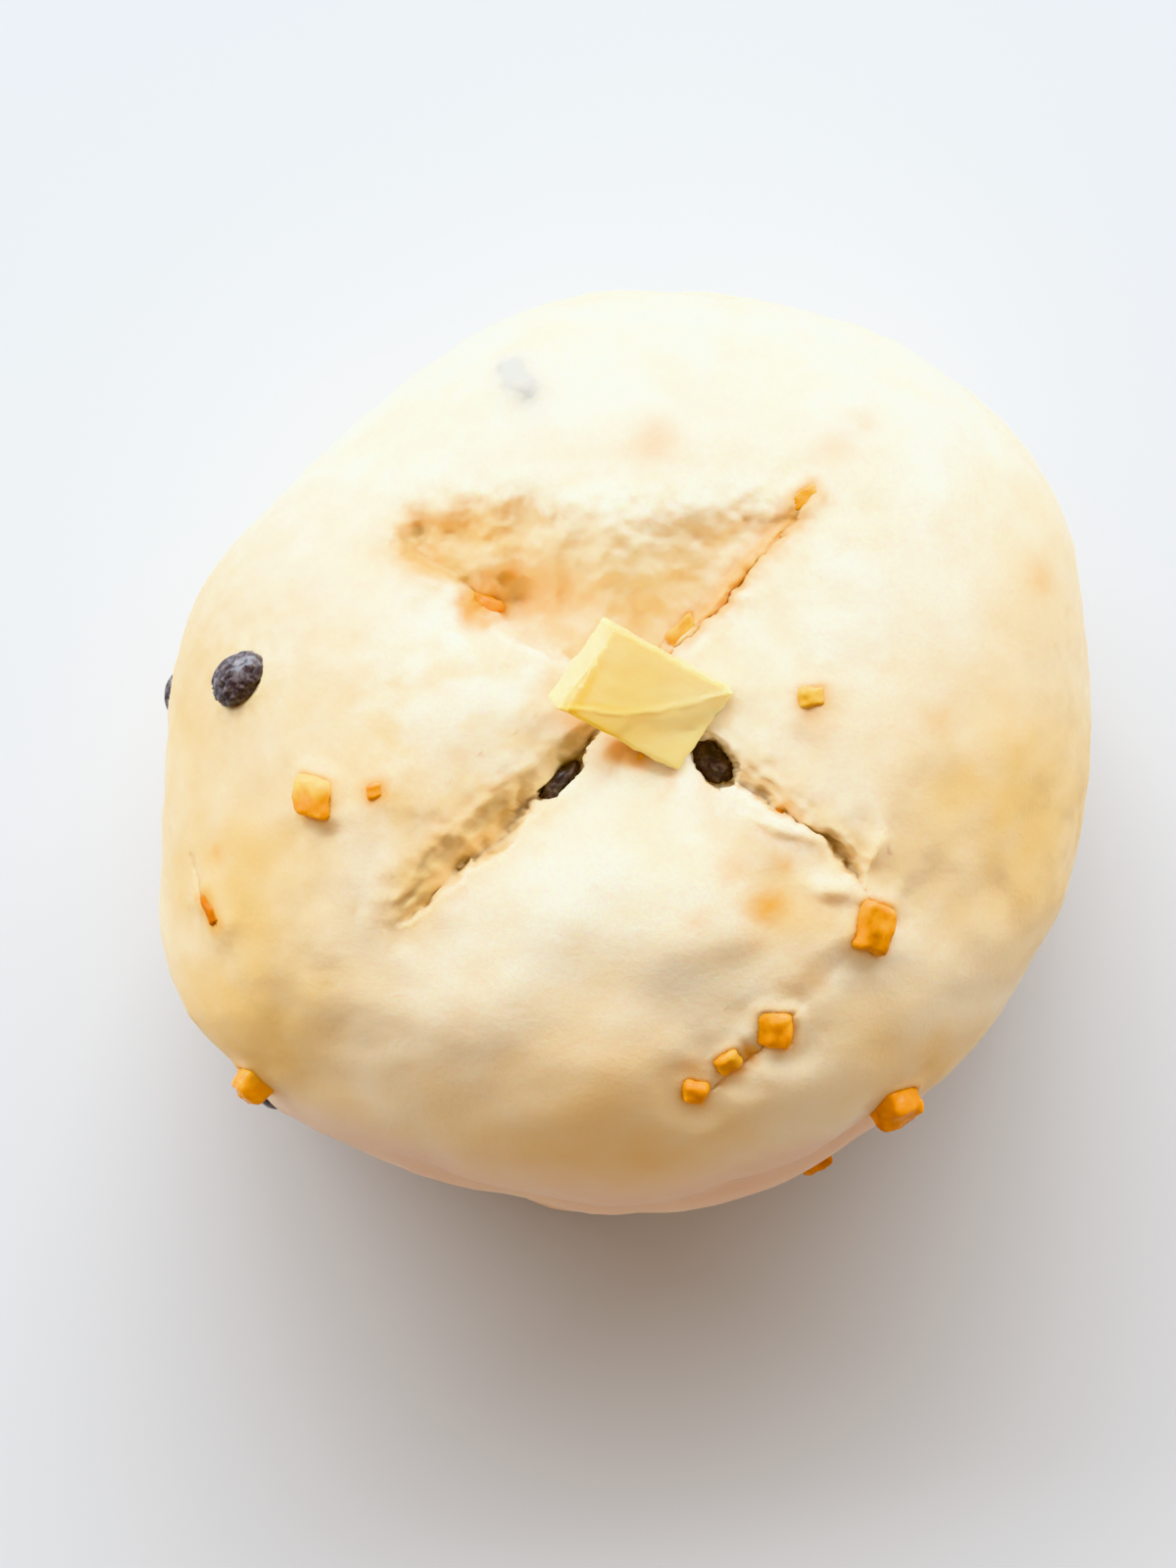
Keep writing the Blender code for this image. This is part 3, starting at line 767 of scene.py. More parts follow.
facing = normals_of(dough)
lumpy = SMOOTH_SKIN + (1 - SMOOTH_SKIN) * bell(distance_to_arms(x, y) / LUMPY_REACH)
lumps = sum(tall * clouds(surface, size, 2, shift=i * 3.1) for i, (tall, size) in enumerate(SKIN_LUMPS))
rough = sum(tall * clouds(surface, size, 2, shift=20 + i * 5.3) for i, (tall, size) in enumerate(TORN_LUMPS))
rough = rough - PORE_DEPTH * smooth((clouds(surface, PORE_SPACING, 1, shift=41.0) - PORE_FROM) / PORE_EDGE)
in_open_face = open_face(x, y)[0]
south_west, south_east = (strands(surface, way, STRAND_WIDTH, STRAND_STRETCH) for way in STRAND_BEARINGS)
along_arm = np.where(y < CROSSING.y, np.where(x < CROSSING.x, south_west, south_east), 0)
rough = rough * (ROUGH_IN_CUTS + ROUGHER_IN_FACE * in_open_face)
rough = rough + STRAND_HEIGHT * along_arm * (1 - in_open_face)
height = lumpy * lumps + torn * rough
print("lumps and strings up to", round(height.max() / MM, 2), "mm")

# %% The near quarter's wrinkles
# They lie in an oval round this middle, below the tip of the quarter.
WRINKLED_X, WRINKLED_Y = 4 * MM, -32 * MM
WRINKLED_REACH = 26 * MM
WRINKLE_HEIGHT = 0.22 * MM
WRINKLE_WIDTH = 1.6 * MM
WRINKLE_STRETCH = 7.0
WRINKLE_BEARING = 238
from_middle = np.hypot(x - WRINKLED_X, (y - WRINKLED_Y) / 1.4)
wrinkled = smooth(1 - from_middle / WRINKLED_REACH) * on_top * (1 - torn)
wrinkles = strands(surface, WRINKLE_BEARING, WRINKLE_WIDTH, WRINKLE_STRETCH)
height = height + WRINKLE_HEIGHT * wrinkled * wrinkles
print("wrinkled share", share_of(wrinkled))

# %% The fold round the foot
# It runs above the widest line of the near side, where the dough was turned under, from this far out
# and this far to the left and right of its middle.
FOOT_FOLD_FROM = 44 * MM
FOOT_FOLD_MIDDLE = 2 * MM
FOOT_FOLD_HALF = 46 * MM
FOOT_FOLD_FADES = (14 * MM, 16 * MM)
FOOT_FOLD_RISE = 15 * MM
FOOT_FOLD_WAVER = 4.0 * MM
FOOT_FOLD_DEPTH = 1.3 * MM
FOOT_FOLD_WIDTH = 1.8 * MM
# Below the fold the dough bulges in a soft roll.
ROLL_BELOW_FOLD = 4.5 * MM
ROLL_WIDTH = 2.6 * MM
ROLL_HEIGHT = 0.65 * MM
seen_from_above = surface * [1, 1, 0]
fold_height = BELT_HEIGHT + FOOT_FOLD_RISE + FOOT_FOLD_WAVER * clouds(seen_from_above, 24 * MM, 2, shift=83.0)
above_fold = surface[:, 2] - fold_height
from_end = FOOT_FOLD_HALF - np.abs(x - FOOT_FOLD_MIDDLE)
on_fold = smooth((-y - FOOT_FOLD_FROM) / FOOT_FOLD_FADES[0]) * smooth(from_end / FOOT_FOLD_FADES[1])
height = height - FOOT_FOLD_DEPTH * on_fold * bell(above_fold / FOOT_FOLD_WIDTH)
roll = bell((above_fold + ROLL_BELOW_FOLD) / ROLL_WIDTH)
height = height + ROLL_HEIGHT * on_fold * roll
print("fold from", round(fold_height.min() / MM, 1), "to", round(fold_height.max() / MM, 1), "mm")

# %% The near quarter's fullness
# It has sagged and is a little fuller below its middle, but not where fruit holds it.
SAG = 1.6 * MM
SAG_OUT = 57 * MM
SAG_WIDTH = 13 * MM
SAG_MIDDLE = -2 * MM
SAG_HALF_LENGTH = 58 * MM
SAG_FADE = 30 * MM
FRUIT_HOLDS = 4 * MM
FULLER_TO_THE_RIGHT = oval(32, -46, 12, 9, 30, 0.6)
gaps = {node: gap_to(node, surface) for node in fruit_nodes}
nearest = np.maximum(np.min(list(gaps.values()), axis=0), 0)
free = 1 - bell(nearest / FRUIT_HOLDS)
from_end = SAG_HALF_LENGTH - np.abs(x - SAG_MIDDLE)
fuller = bell((y + SAG_OUT) / SAG_WIDTH) * smooth(from_end / SAG_FADE)
fuller = fuller + FULLER_TO_THE_RIGHT[3] * oval_share(FULLER_TO_THE_RIGHT, x, y)
height = height + SAG * fuller * free * on_top
print("sagged share", share_of(fuller))

# %% The rim round the fruit
# How far the dough climbs over the fruit, and how far out that reaches.
COLLAR_HEIGHT = 0.5 * MM
HIGH_COLLARS = {
    "peel_west_top": 1.2 * MM,
    "peel_south_east_end": 1.0 * MM,
    "peel_south_crease": 0.9 * MM,
    "peel_north_west_cut": 1.0 * MM,
    "peel_north_east_cut": 1.0 * MM,
    "peel_south_east_side": 0.8 * MM,
    "peel_south_west_side": 0.6 * MM,
    "raisin_south_east_cut": 0.0,
    "raisin_south_west_cut": 0.0,
}
RIM_WIDTH = 1.5 * MM
WELL_DEPTH = 1.2 * MM
WELL_SLOPE = 1.2 * MM
CREASE_DEPTH = 0.35 * MM
CREASE_WIDTH = 0.35 * MM
# Fruit that lies just under the skin, how far the skin bulges over it, and how far round it.
COVERED = {
    "raisin_north_skin": 2.4 * MM,
    "peel_south_of_butter": 1.5 * MM,
    "peel_west_crack": 1.1 * MM,
    "peel_west_dot": 0.5 * MM,
}
COVER_REACH = 3 * MM
collar = np.zeros(len(surface))
well = np.zeros(len(surface))
for node, gap in gaps.items():
    if node in COVERED:
        cover = bell(np.maximum(gap, 0) / COVER_REACH)
        collar = np.maximum(collar, COVERED[node] * cover)
        continue
    climb = HIGH_COLLARS.get(node, COLLAR_HEIGHT)
    collar = np.maximum(collar, climb * bell(gap / RIM_WIDTH))
    well = np.maximum(well, WELL_DEPTH * smooth(-gap / WELL_SLOPE))
    well = np.maximum(well, CREASE_DEPTH * bell(gap / CREASE_WIDTH))
height = height + collar - well
print("highest rim, mm", round(collar.max() / MM, 2))

# %% Push the relief out
surface = surface + facing * height[:, None]
move_points(dough, surface)
print("relief from", round(height.min() / MM, 2), "to", round(height.max() / MM, 2), "mm")

# %% [markdown]
# ### Stains
#
# Peel lies under the skin here and there and shines through as soft ochre spots, and round each piece
# of peel the dough takes its colour. The skin is grey over the raisin that lies under it, and the open
# face's hollow is tan dough. Shade is painted in as well: ochre and tan where less light falls on the
# sides and low parts, pink at the foot, deeper yellow in the skin's hollows, and brown in the cuts and
# between their strings. It could be painted by hand on a picture. Here each kind of stain and shade is a
# number on the points, worked out from where things are, so that it stays in place on every side and
# needs no picture.

# %% Where peel shines through, and where warm shade is painted
# Peel spots under the skin, an amber spot of painted shade under the butter, and a wide faint warm shade:
# (x and y, radius in millimetres, strength).
UNDER_SKIN = (
    (21.4, -24.8, 2.8, 0.95),
    (21.0, -46.0, 1.8, 0.85),
    (18.7, -48.1, 2.0, 1.0),
    (17.1, -50.9, 1.6, 0.80),
    (14.9, -53.1, 1.4, 0.45),
    (10.1, -50.6, 2.2, 0.45),
    (28.0, -37.0, 3.0, 0.30),
    # A wide, faint warm tint painted into the near quarter's shade.
    (-2.0, -56.0, 18.0, 0.12),
    (15.9, -19.0, 2.2, 0.40),
    (24.4, -18.3, 2.0, 0.50),
    (19.8, -30.7, 1.8, 0.30),
    (-66.5, -17.0, 1.4, 0.60),
    (-23.6, 22.4, 2.6, 0.95),
    (-25.2, 20.8, 1.3, 0.90),
    (-24.8, 23.6, 1.4, 0.90),
    (-22.6, 25.5, 1.5, 0.80),
    (-19.4, 26.0, 1.5, 0.60),
    (-16.0, 23.4, 3.2, 0.35),
    (12.0, -6.0, 2.4, 0.40),
    (24.0, -9.6, 1.6, 0.80),
    # Amber painted into the shade under the butter's left corner, where the butter passes light.
    (-9.0, 3.8, 2.4, 0.60),
    (-33.0, 29.5, 4.5, 0.30),
    (-12.0, 22.5, 4.0, 0.40),
    (28.4, 5.0, 3.0, 0.35),
    (10.0, -27.0, 2.2, 0.35),
    (4.0, 48.0, 3.6, 0.45),
    (32.5, 47.0, 3.4, 0.40),
    (37.0, 51.5, 2.6, 0.35),
    (66.0, 27.0, 2.6, 0.55),
    (49.0, 3.5, 2.2, 0.35),
    (5.6, -6.5, 1.8, 0.45),
    (-28.5, 8.0, 2.2, 0.20),
    (-30.0, -14.0, 3.2, 0.25),
    (-52.0, 22.0, 3.0, 0.15),
)
print("spots", len(UNDER_SKIN))

# %% The colour that peel gives the dough, and painted shade in the cavity and the north-east cut
# The cavity's deep end, left of the butter: orange for the peel in it, darker as its painted shade.
CAVITY = oval(-23.2, 22.4, 4.2, 3.4, 2, 0.60)
STAIN_REACH = 1.3 * MM
STAIN_OF_COVERED = 0.75
STAIN_OF_OPEN = 0.6
stain_and_warm_shade = np.zeros(len(surface))
for node, gap in gaps.items():
    if node.startswith("peel"):
        strength = STAIN_OF_COVERED if node in COVERED else STAIN_OF_OPEN
        stain_and_warm_shade = np.maximum(stain_and_warm_shade, strength * bell(np.maximum(gap, 0) / STAIN_REACH))
for spot_x, spot_y, radius, strength in UNDER_SKIN:
    away = np.hypot(x - spot_x * MM, y - spot_y * MM) / (radius * MM)
    stain_and_warm_shade = np.maximum(stain_and_warm_shade, strength * bell(away) * on_top)
stain_and_warm_shade = np.maximum(stain_and_warm_shade, CAVITY[3] * pit_share(CAVITY, x, y) * (1 + 0.5 * ragged))
# A band of orange and tan is painted along the north-east cut, as shade on its wall facing away from the
# window.
BAND_ASIDE = 0.8 * MM
BAND_WIDTH = 2.0 * MM
BAND_ORANGE_SHADE = 0.72
along, aside, before = along_and_aside(CROSS_ARMS[0], x, y)
band = bell((aside - BAND_ASIDE) / BAND_WIDTH) * smooth((along - 0.1) / 0.3) * (along < 1)
stain_and_warm_shade = np.maximum(stain_and_warm_shade, BAND_ORANGE_SHADE * band)
paint(dough, "stain_and_warm_shade", stain_and_warm_shade)
print("stained share", share_of(stain_and_warm_shade))

# %% Where the foot is painted pink shade
# The pink is painted shade: it is pinkest, and highest up, on the near side, in the ball's own shade.
PINK_RISE = 38 * MM
PINK_LEAST = 0.4
# Over what height it fades, on the far side and how much less on the near side.
PINK_FADE = 42 * MM
PINK_FADE_LESS = 18 * MM
PINK_PATCHES = 0.6
NEAR_SIDE_FROM = 40 * MM
NEAR_SIDE_FADE = 26 * MM
near_side = smooth((-y - NEAR_SIDE_FROM) / NEAR_SIDE_FADE)
pink_from = BELT_HEIGHT + PINK_RISE * near_side
pink_shade = smooth((pink_from - surface[:, 2]) / (PINK_FADE - PINK_FADE_LESS * near_side))
pink_shade = pink_shade * (PINK_LEAST + (1 - PINK_LEAST) * near_side)
pink_shade = np.clip(pink_shade * (1 + PINK_PATCHES * clouds(surface, 16 * MM, 2, shift=57.0)), 0, 1)
paint(dough, "pink_shade", pink_shade)
print("pink share", share_of(pink_shade))

# %% Where the skin is painted ochre shade
# This deeper ochre is painted shade where less light falls, on the sides and low parts, and it deepens the
# tan dough of the open face's hollow and cavity.
OCHRE_AND_SHADE_PLACES = ovals(
    (64, -12, 24, 26, 0, 1.0),
    (55, -57, 26, 16, -40, 0.85),
    (-4, -68, 54, 23, 0, 0.80),
    (-64, -46, 25, 22, 0, 1.0),
    (-64, -22, 18, 22, 0, 0.95),
    (-74, 4, 17, 26, 0, 0.75),
    (-38, -6, 13, 10, 30, 0.50),
    (-44, 8, 16, 5, 10, 0.35),
    (-25.5, 34, 11, 5.5, -6, 0.85),
    (-31, 29.5, 8, 3.0, -12, 1.0),
    (12.8, 33.4, 7, 4.5, 20, 0.25),
    (19, 29, 11, 3.0, 47, 0.20),
    (-14, 22.4, 9, 3.8, 0, 0.55),
    (-30, -19, 14, 5.5, 45, 1.0),
    (27, -27, 11, 6, -30, 0.75),
    (27, -35, 8, 4.5, 40, 0.50),
    (11, -33, 7, 5, 0, 0.20),
    (-8, -41, 14, 7, 0, 0.30),
    (35, -17, 9, 5, -35, 0.55),
    (30, 2, 8, 9, 0, 0.40),
    (47, -17, 12, 8, -20, 0.60),
    (70, 22, 18, 20, 0, 0.50),
    (0, 46, 26, 6, 0, 0.30),
    (-54, 17, 14, 8, 0, 0.30),
)
# It is patchy, and less yellow where it is pink.
OCHRE_AND_SHADE_PATCHES = 0.35
OCHRE_LOST_TO_PINK_SHADE = 0.7
ochre_and_shade = strongest(OCHRE_AND_SHADE_PLACES, x, y) * (1 - OCHRE_LOST_TO_PINK_SHADE * pink_shade)
ochre_and_shade = ochre_and_shade * (1 + OCHRE_AND_SHADE_PATCHES * clouds(surface, 9 * MM, 2, shift=63.0))
paint(dough, "ochre_and_shade", np.clip(ochre_and_shade, 0, 1))
print("moist share", share_of(ochre_and_shade))

# %% Where the dough is tan, and where tan is painted shade
# The open face's hollow is tan dough. The tan on the sides, in the cavity, beside the butter and along the
# near cuts is painted shade, partly over torn dough.
TAN_AND_SHADE_PLACES = ovals(
    (-32.5, 31.0, 8, 3.4, -14, 0.95),
    (-29.5, 28.2, 6.5, 2.4, -6, 0.95),
    (-23.8, 22.6, 3.2, 2.8, 0, 0.85),
    (-25.0, 22.4, 1.4, 3.2, 12, 0.90),
    (-21.0, 25.9, 4.0, 1.3, -8, 0.70),
    (-66, 14, 18, 24, 0, 0.50),
    (-54, -26, 26, 24, 0, 0.32),
    (52, 0, 22, 26, 0, 0.26),
    (74, 2, 16, 34, 0, 0.40),
    (43.5, -22.5, 7, 5, -30, 0.40),
    (-73, -12, 14, 22, 0, 0.30),
    (-31.5, -12.5, 6, 4, 40, 0.40),
    (18.5, -1.5, 5, 3, -40, 0.35),
    (-8.0, -1.5, 3.5, 3.0, 0, 0.35),
    (-21.0, -10.0, 4.0, 2.0, 45, 0.55),
    (21.3, -24.8, 3.0, 2.0, 0, 0.90),
    (14, -5.5, 4.0, 2.4, -35, 0.35),
    (18, -15.5, 9.0, 1.8, -35, 0.50),
    (28, -9.0, 8.0, 2.2, -36, 0.50),
    (-36, -21.0, 8.0, 3.0, 40, 0.30),
)
BAND_TAN_SHADE = 0.40
# How ragged the edges are, of the places and of the band along the north-east cut.
TAN_RAGGED = 0.7
BAND_RAGGED = 0.9
tan_and_shade = strongest(TAN_AND_SHADE_PLACES, x, y) * (1 + TAN_RAGGED * ragged)
tan_and_shade = np.maximum(tan_and_shade, BAND_TAN_SHADE * band * (1 + BAND_RAGGED * ragged))
paint(dough, "tan_and_shade", np.clip(tan_and_shade, 0, 1) * on_top)
print("tan share", share_of(tan_and_shade))

# %% Where the skin is mottled, with painted shade in its hollows
# Hollows are painted deeper yellow than lumps, as shade, with random patches, most of all in these places.
MOTTLED_PLACES = ovals(
    (-28, 0, 26, 20, 0, 1.0),
    (28, -20, 16, 12, -30, 0.7),
    (-2, 31, 36, 11, 0, 0.45),
    (26, 8, 14, 12, 0, 0.3),
)
HOLLOW_HEIGHT = 1.2 * MM
# How much of the mottling is left away from these places.
MOTTLED_LEAST = 0.25
patchy = clouds(surface, 8 * MM, 2, shift=71.0) + 0.7 * clouds(surface, 3.2 * MM, 2, shift=77.0)
mottled = MOTTLED_LEAST + (1 - MOTTLED_LEAST) * strongest(MOTTLED_PLACES, x, y)
mottle_and_hollow_shade = smooth(0.50 - lumps / HOLLOW_HEIGHT + 0.7 * patchy) * mottled
paint(dough, "mottle_and_hollow_shade", mottle_and_hollow_shade * on_top)
print("hollow share", share_of(mottle_and_hollow_shade))

# %% The raisin under the skin
GREY_SPOT = oval(-17.2, 57.6, 4.6, 2.6, 118, 0.85)
grey = GREY_SPOT[3] * np.clip(1.7 * oval_share(GREY_SPOT, x, y) * (1 + 0.4 * ragged), 0, 1)
paint(dough, "grey", np.clip(grey, 0, 1) * on_top)
print("grey share", share_of(grey))

# %% Painted shade at the bottoms of the cuts and between their strings
# How dark the painted shade at the bottom of each arm of the cross and of each crease is.
CREVICE_STRENGTHS = (0.20, 0.0, 0.50, 0.35, 0.50, 0.0, 0.0, 0.3, 0.4)
CREVICE_WIDTH = 0.8 * MM
CREVICE_RAGGED = 0.8


def crevice_share(x, y):
    """1 along the bottom of a cut, where its shade is painted dark, 0 away from it."""
    shares = []
    for line, strength in zip(CROSS_ARMS + CREASES, CREVICE_STRENGTHS):
        along, aside, before = along_and_aside(line, x, y)
        inside = np.clip(along, 0, 1)
        fade = smooth((1 - inside) / 0.15) * (along < 1)
        shares.append(strength * fade * bell(np.hypot(aside, before) / CREVICE_WIDTH))
    return np.max(shares, axis=0)


crevice_shade = np.clip(crevice_share(x, y) * (1 + CREVICE_RAGGED * ragged), 0, 1) * on_top
# Brown is painted in the grooves between the strings of the torn faces, as their shade.
streak_and_groove_shade = torn * (1 - in_open_face) * smooth(0.35 - 1.6 * along_arm)
paint(dough, "crevice_shade", crevice_shade)
paint(dough, "streak_and_groove_shade", streak_and_groove_shade)
paint(dough, "torn", torn)
print("dark share", share_of(crevice_shade))

# %% Trim it flat where it rests
only(dough)
bpy.ops.object.mode_set(mode="EDIT")
bpy.ops.mesh.select_all(action="SELECT")
bpy.ops.mesh.bisect(plane_co=(0, 0, 0), plane_no=(0, 0, 1), clear_inner=True, use_fill=True)
bpy.ops.mesh.select_all(action="SELECT")
bpy.ops.mesh.normals_make_consistent(inside=False)
bpy.ops.object.mode_set(mode="OBJECT")
bpy.ops.object.shade_smooth()
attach(dough, "root")
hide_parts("dough")
print("triangles", sum(len(face.vertices) - 2 for face in dough.data.polygons))

# %% [markdown]
# ### The dough's finish
#
# Butter and egg yolks make the dough a warm cream. Light goes a little way into it, so its shade is
# warm and soft, and its skin is satin. One noise could mottle it all over, but each stain and each
# patch of painted shade has its own place. So the numbers on the points lay their colours over the
# cream one after another, the wide faint ones first and the narrow dark ones last.

# %% The dough's material
SKIN_COLOUR = (0.97, 0.88, 0.69)
SKIN_COLOUR_DEEP = (0.93, 0.70, 0.36)
# From the lowest up: (number on the points, where it starts, where it is full, how strong, its colour).
# The layers for the skin's hollows, the ochre and tan sides, the pink foot, the grooves and the cut bottoms
# are painted shade in whole or in part, and the orange layer is peel's colour with spots of painted warm
# shade.
STAIN_LAYERS = (
    ("mottle_and_hollow_shade", 0.10, 0.95, 0.85, SKIN_COLOUR_DEEP),
    ("torn", 0.1, 0.9, 0.35, (0.90, 0.68, 0.36)),
    ("ochre_and_shade", 0.0, 1.0, 1.0, (0.87, 0.58, 0.22)),
    ("pink_shade", 0.0, 1.0, 0.8, (0.86, 0.58, 0.42)),
    ("tan_and_shade", 0.0, 1.0, 1.0, (0.50, 0.33, 0.13)),
    ("grey", 0.0, 1.0, 1.0, (0.22, 0.20, 0.18)),
    ("stain_and_warm_shade", 0.0, 1.0, 0.9, (0.80, 0.36, 0.03)),
    ("streak_and_groove_shade", 0.1, 0.9, 0.7, (0.56, 0.37, 0.16)),
    ("crevice_shade", 0.0, 1.0, 1.0, (0.34, 0.16, 0.04)),
)

dough_material, tree, shader = new_material(
    "raw_dough",
    Subsurface_Weight=0.35,
    Subsurface_Radius=(1.0, 0.55, 0.25),
    Subsurface_Scale=0.005,
    Specular_IOR_Level=0.35,
)
mottle = noise_node(tree, 55.0, 3.0, 0.55)
colour = blend(tree, ramp(tree, mottle, 0.42, 0.66, 0.0, 0.36), SKIN_COLOUR, SKIN_COLOUR_DEEP)
tree.links.new(layered(tree, colour, STAIN_LAYERS), shader.inputs["Base Color"])
grain = noise_node(tree, 420.0, 2.0, 0.5)
add_bump(tree, shader, noise_node(tree, 900.0, 3.0, 0.6), 0.18, 0.0004)
tree.links.new(ramp(tree, grain, 0.3, 0.7, 0.42, 0.55), shader.inputs["Roughness"])
dough.data.materials.append(dough_material)
print("nodes", len(tree.nodes))

# %% [markdown]
# ## Raisins
#
# A raisin is a dried grape: its skin has shrunk into folds that run from end to end, with a grey bloom
# on them. The folds could be a bump in the material, but then its outline would stay smooth. So each
# raisin starts as a copy of its solid, is divided finely, and gets its folds pushed in.

# %% Model the raisins
FOLD_DEPTH = 0.55 * MM
FOLD_SPACING = 1.5 * MM
# How narrow a fold is, as a share of the random heights, and how much longer it is made.
FOLD_NARROWNESS = 0.22
FOLD_STRETCH = 0.72
RAISIN_SWELL = 0.15 * MM


def longest_way(places):
    """The direction in which a shape is longest."""
    centred = places - places.mean(axis=0)
    return np.linalg.svd(centred, full_matrices=False)[2][0]


raisins = []
for node in fruit_nodes:
    if not node.startswith("raisin"):
        continue
    raisin = copy_of_solid(node)
    apply_modifier(raisin, "SUBSURF", levels=2, render_levels=2)
    places = points_of(raisin)
    centre = places.mean(axis=0)
    ahead = longest_way(places)
    offset = places - centre
    lengthwise = offset @ ahead
    squeezed = offset - FOLD_STRETCH * lengthwise[:, None] * ahead
    folds = clouds(squeezed, FOLD_SPACING, 2, shift=len(raisins) * 2.7)
    creases = smooth(1 - np.abs(folds) / FOLD_NARROWNESS)
    places = places + normals_of(raisin) * (RAISIN_SWELL - FOLD_DEPTH * creases)[:, None]
    move_points(raisin, places)
    only(raisin)
    bpy.ops.object.shade_smooth()
    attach(raisin, "root")
    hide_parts(node)
    raisins.append(raisin)
print("raisins", len(raisins))

# %% The raisins' material
RAISIN_COLOUR = (0.045, 0.029, 0.030)
BLOOM_COLOUR = (0.30, 0.24, 0.24)
raisin_material, tree, shader = new_material("raisin_skin", Specular_IOR_Level=0.5, Coat_Weight=0.15)
bloom = noise_node(tree, 700.0, 3.0, 0.6)
bloomed = ramp(tree, bloom, 0.45, 0.70, 0.0, 0.6)
colour = blend(tree, bloomed, RAISIN_COLOUR, BLOOM_COLOUR)
tree.links.new(colour, shader.inputs["Base Color"])
tree.links.new(ramp(tree, bloom, 0.35, 0.7, 0.28, 0.5), shader.inputs["Roughness"])
for raisin in raisins:
    raisin.data.materials.append(raisin_material)
print("nodes", len(tree.nodes))

# %% [markdown]
# ## Candied peel
#
# Peel is simmered in sugar until it is clear and sticky, then cut in cubes. Light shines through it,
# so its thin edges are bright and its middle is deep orange. Some pieces are riper than others. Clear
# glass over a coloured core would look empty without the pulp. Here the light scatters under a glossy
# skin, and two numbers on each point give its colour. The first says how ripe the piece is there, with
# the light through its thin edges painted in as yellow and its near side painted redder as shade. The
# second says how dark it is: its veins, and painted shade set for the light that falls on each piece.

# %% The peel's measures
PEEL_SMOOTHING = 18
PEEL_DENT = 0.50 * MM
PEEL_DENT_SIZE = 2.4 * MM
PEEL_SWELL = 0.25 * MM
VEIN_SIZE = 1.6 * MM
# Its edges are painted yellower than its middle, as the light that shines through thin edges, and its veins
# are riper and darker.
PAINTED_EDGE_LIGHT = 0.35
EDGE_AT = 0.52
VEIN_RIPER = 0.22
VEIN_DARKER = 0.12
# How ripe a piece is, 0 for yellow, 0.5 for orange and 1 for a brownish red, and how dark it is painted, as
# shade set for the light that falls on each piece.
PEEL_LOOKS = {
    "peel_west_top": (0.34, 0.04),
    "peel_west_dot": (0.50, 0.30),
    "peel_west_crack": (0.90, 0.40),
    "peel_north_west_cut": (0.55, 0.40),
    "peel_north_east_cut": (0.32, 0.50),
    "peel_north_of_butter": (0.05, 0.40),
    "peel_east_top": (0.05, 0.32),
    "peel_south_east_cut": (0.85, 0.35),
    "peel_south_east_end": (0.48, 0.30),
    "peel_south_east_side": (0.55, 0.10),
    "peel_south_side": (0.65, 0.30),
    "peel_south_dot": (0.50, 0.12),
    "peel_south_crease_strip": (0.35, 0.30),
    "peel_south_west_side": (0.35, 0.0),
}
USUAL_LOOK = (0.45, 0.05)
# How much riper a piece is painted towards its near side, as shade on the side away from the window, and how
# ripe it gets at most.
PEEL_LEANS = {"peel_west_top": (1.3, 0.55)}
USUAL_LEAN = (0.30, 1.0)
print("pieces with a look of their own", len(PEEL_LOOKS))

# %% Model the peel
peels = []
for node in fruit_nodes:
    if not node.startswith("peel"):
        continue
    peel = copy_of_solid(node)
    apply_modifier(peel, "SUBSURF", levels=2, render_levels=2, subdivision_type="SIMPLE")
    apply_modifier(peel, "SMOOTH", factor=0.6, iterations=PEEL_SMOOTHING)
    places = points_of(peel)
    dents = clouds(places, PEEL_DENT_SIZE, 2, shift=len(peels) * 1.9)
    move_points(peel, places + normals_of(peel) * (PEEL_DENT * dents + PEEL_SWELL)[:, None])
    outward = places - places.mean(axis=0)
    from_middle = np.linalg.norm(outward / np.ptp(places, axis=0), axis=1)
    veins = clouds(places, VEIN_SIZE, 2, shift=len(peels) * 3.7)
    farness = outward[:, 1] / np.ptp(places[:, 1])
    ripe_light_and_shade, dark_and_shade = PEEL_LOOKS.get(node, USUAL_LOOK)
    lean, ripest = PEEL_LEANS.get(node, USUAL_LEAN)
    ripe_light_and_shade = ripe_light_and_shade + PAINTED_EDGE_LIGHT * (EDGE_AT - from_middle) + VEIN_RIPER * veins - lean * farness
    paint(peel, "ripe_light_and_shade", np.clip(ripe_light_and_shade, 0, ripest))
    paint(peel, "dark_and_shade", np.clip(dark_and_shade + VEIN_DARKER * veins, 0, 1))
    only(peel)
    bpy.ops.object.shade_smooth()
    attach(peel, "root")
    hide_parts(node)
    peels.append(peel)
print("pieces of peel", len(peels))

# %% The peel's material
YELLOW_PEEL = (0.97, 0.64, 0.12)
# Orange where it is ripe, red where it is riper, and brown where it is dark. The painted light and shade come
# in through these numbers.
PEEL_LAYERS = (
    ("ripe_light_and_shade", 0.0, 0.5, 1.0, (0.98, 0.37, 0.0)),
    ("ripe_light_and_shade", 0.55, 1.0, 1.0, (0.62, 0.14, 0.0)),
    ("dark_and_shade", 0.0, 1.0, 1.0, (0.30, 0.10, 0.0)),
)
peel_material, tree, shader = new_material(
    "candied_orange",
    Roughness=0.22,
    Subsurface_Weight=0.4,
    Subsurface_Radius=(1.0, 0.5, 0.05),
    Subsurface_Scale=0.001,
    Specular_IOR_Level=0.15,
)
tree.links.new(layered(tree, YELLOW_PEEL, PEEL_LAYERS), shader.inputs["Base Color"])
add_bump(tree, shader, noise_node(tree, 420.0, 3.0, 0.6), 0.25, 0.0005)
for peel in peels:
    peel.data.materials.append(peel_material)
print("nodes", len(tree.nodes))

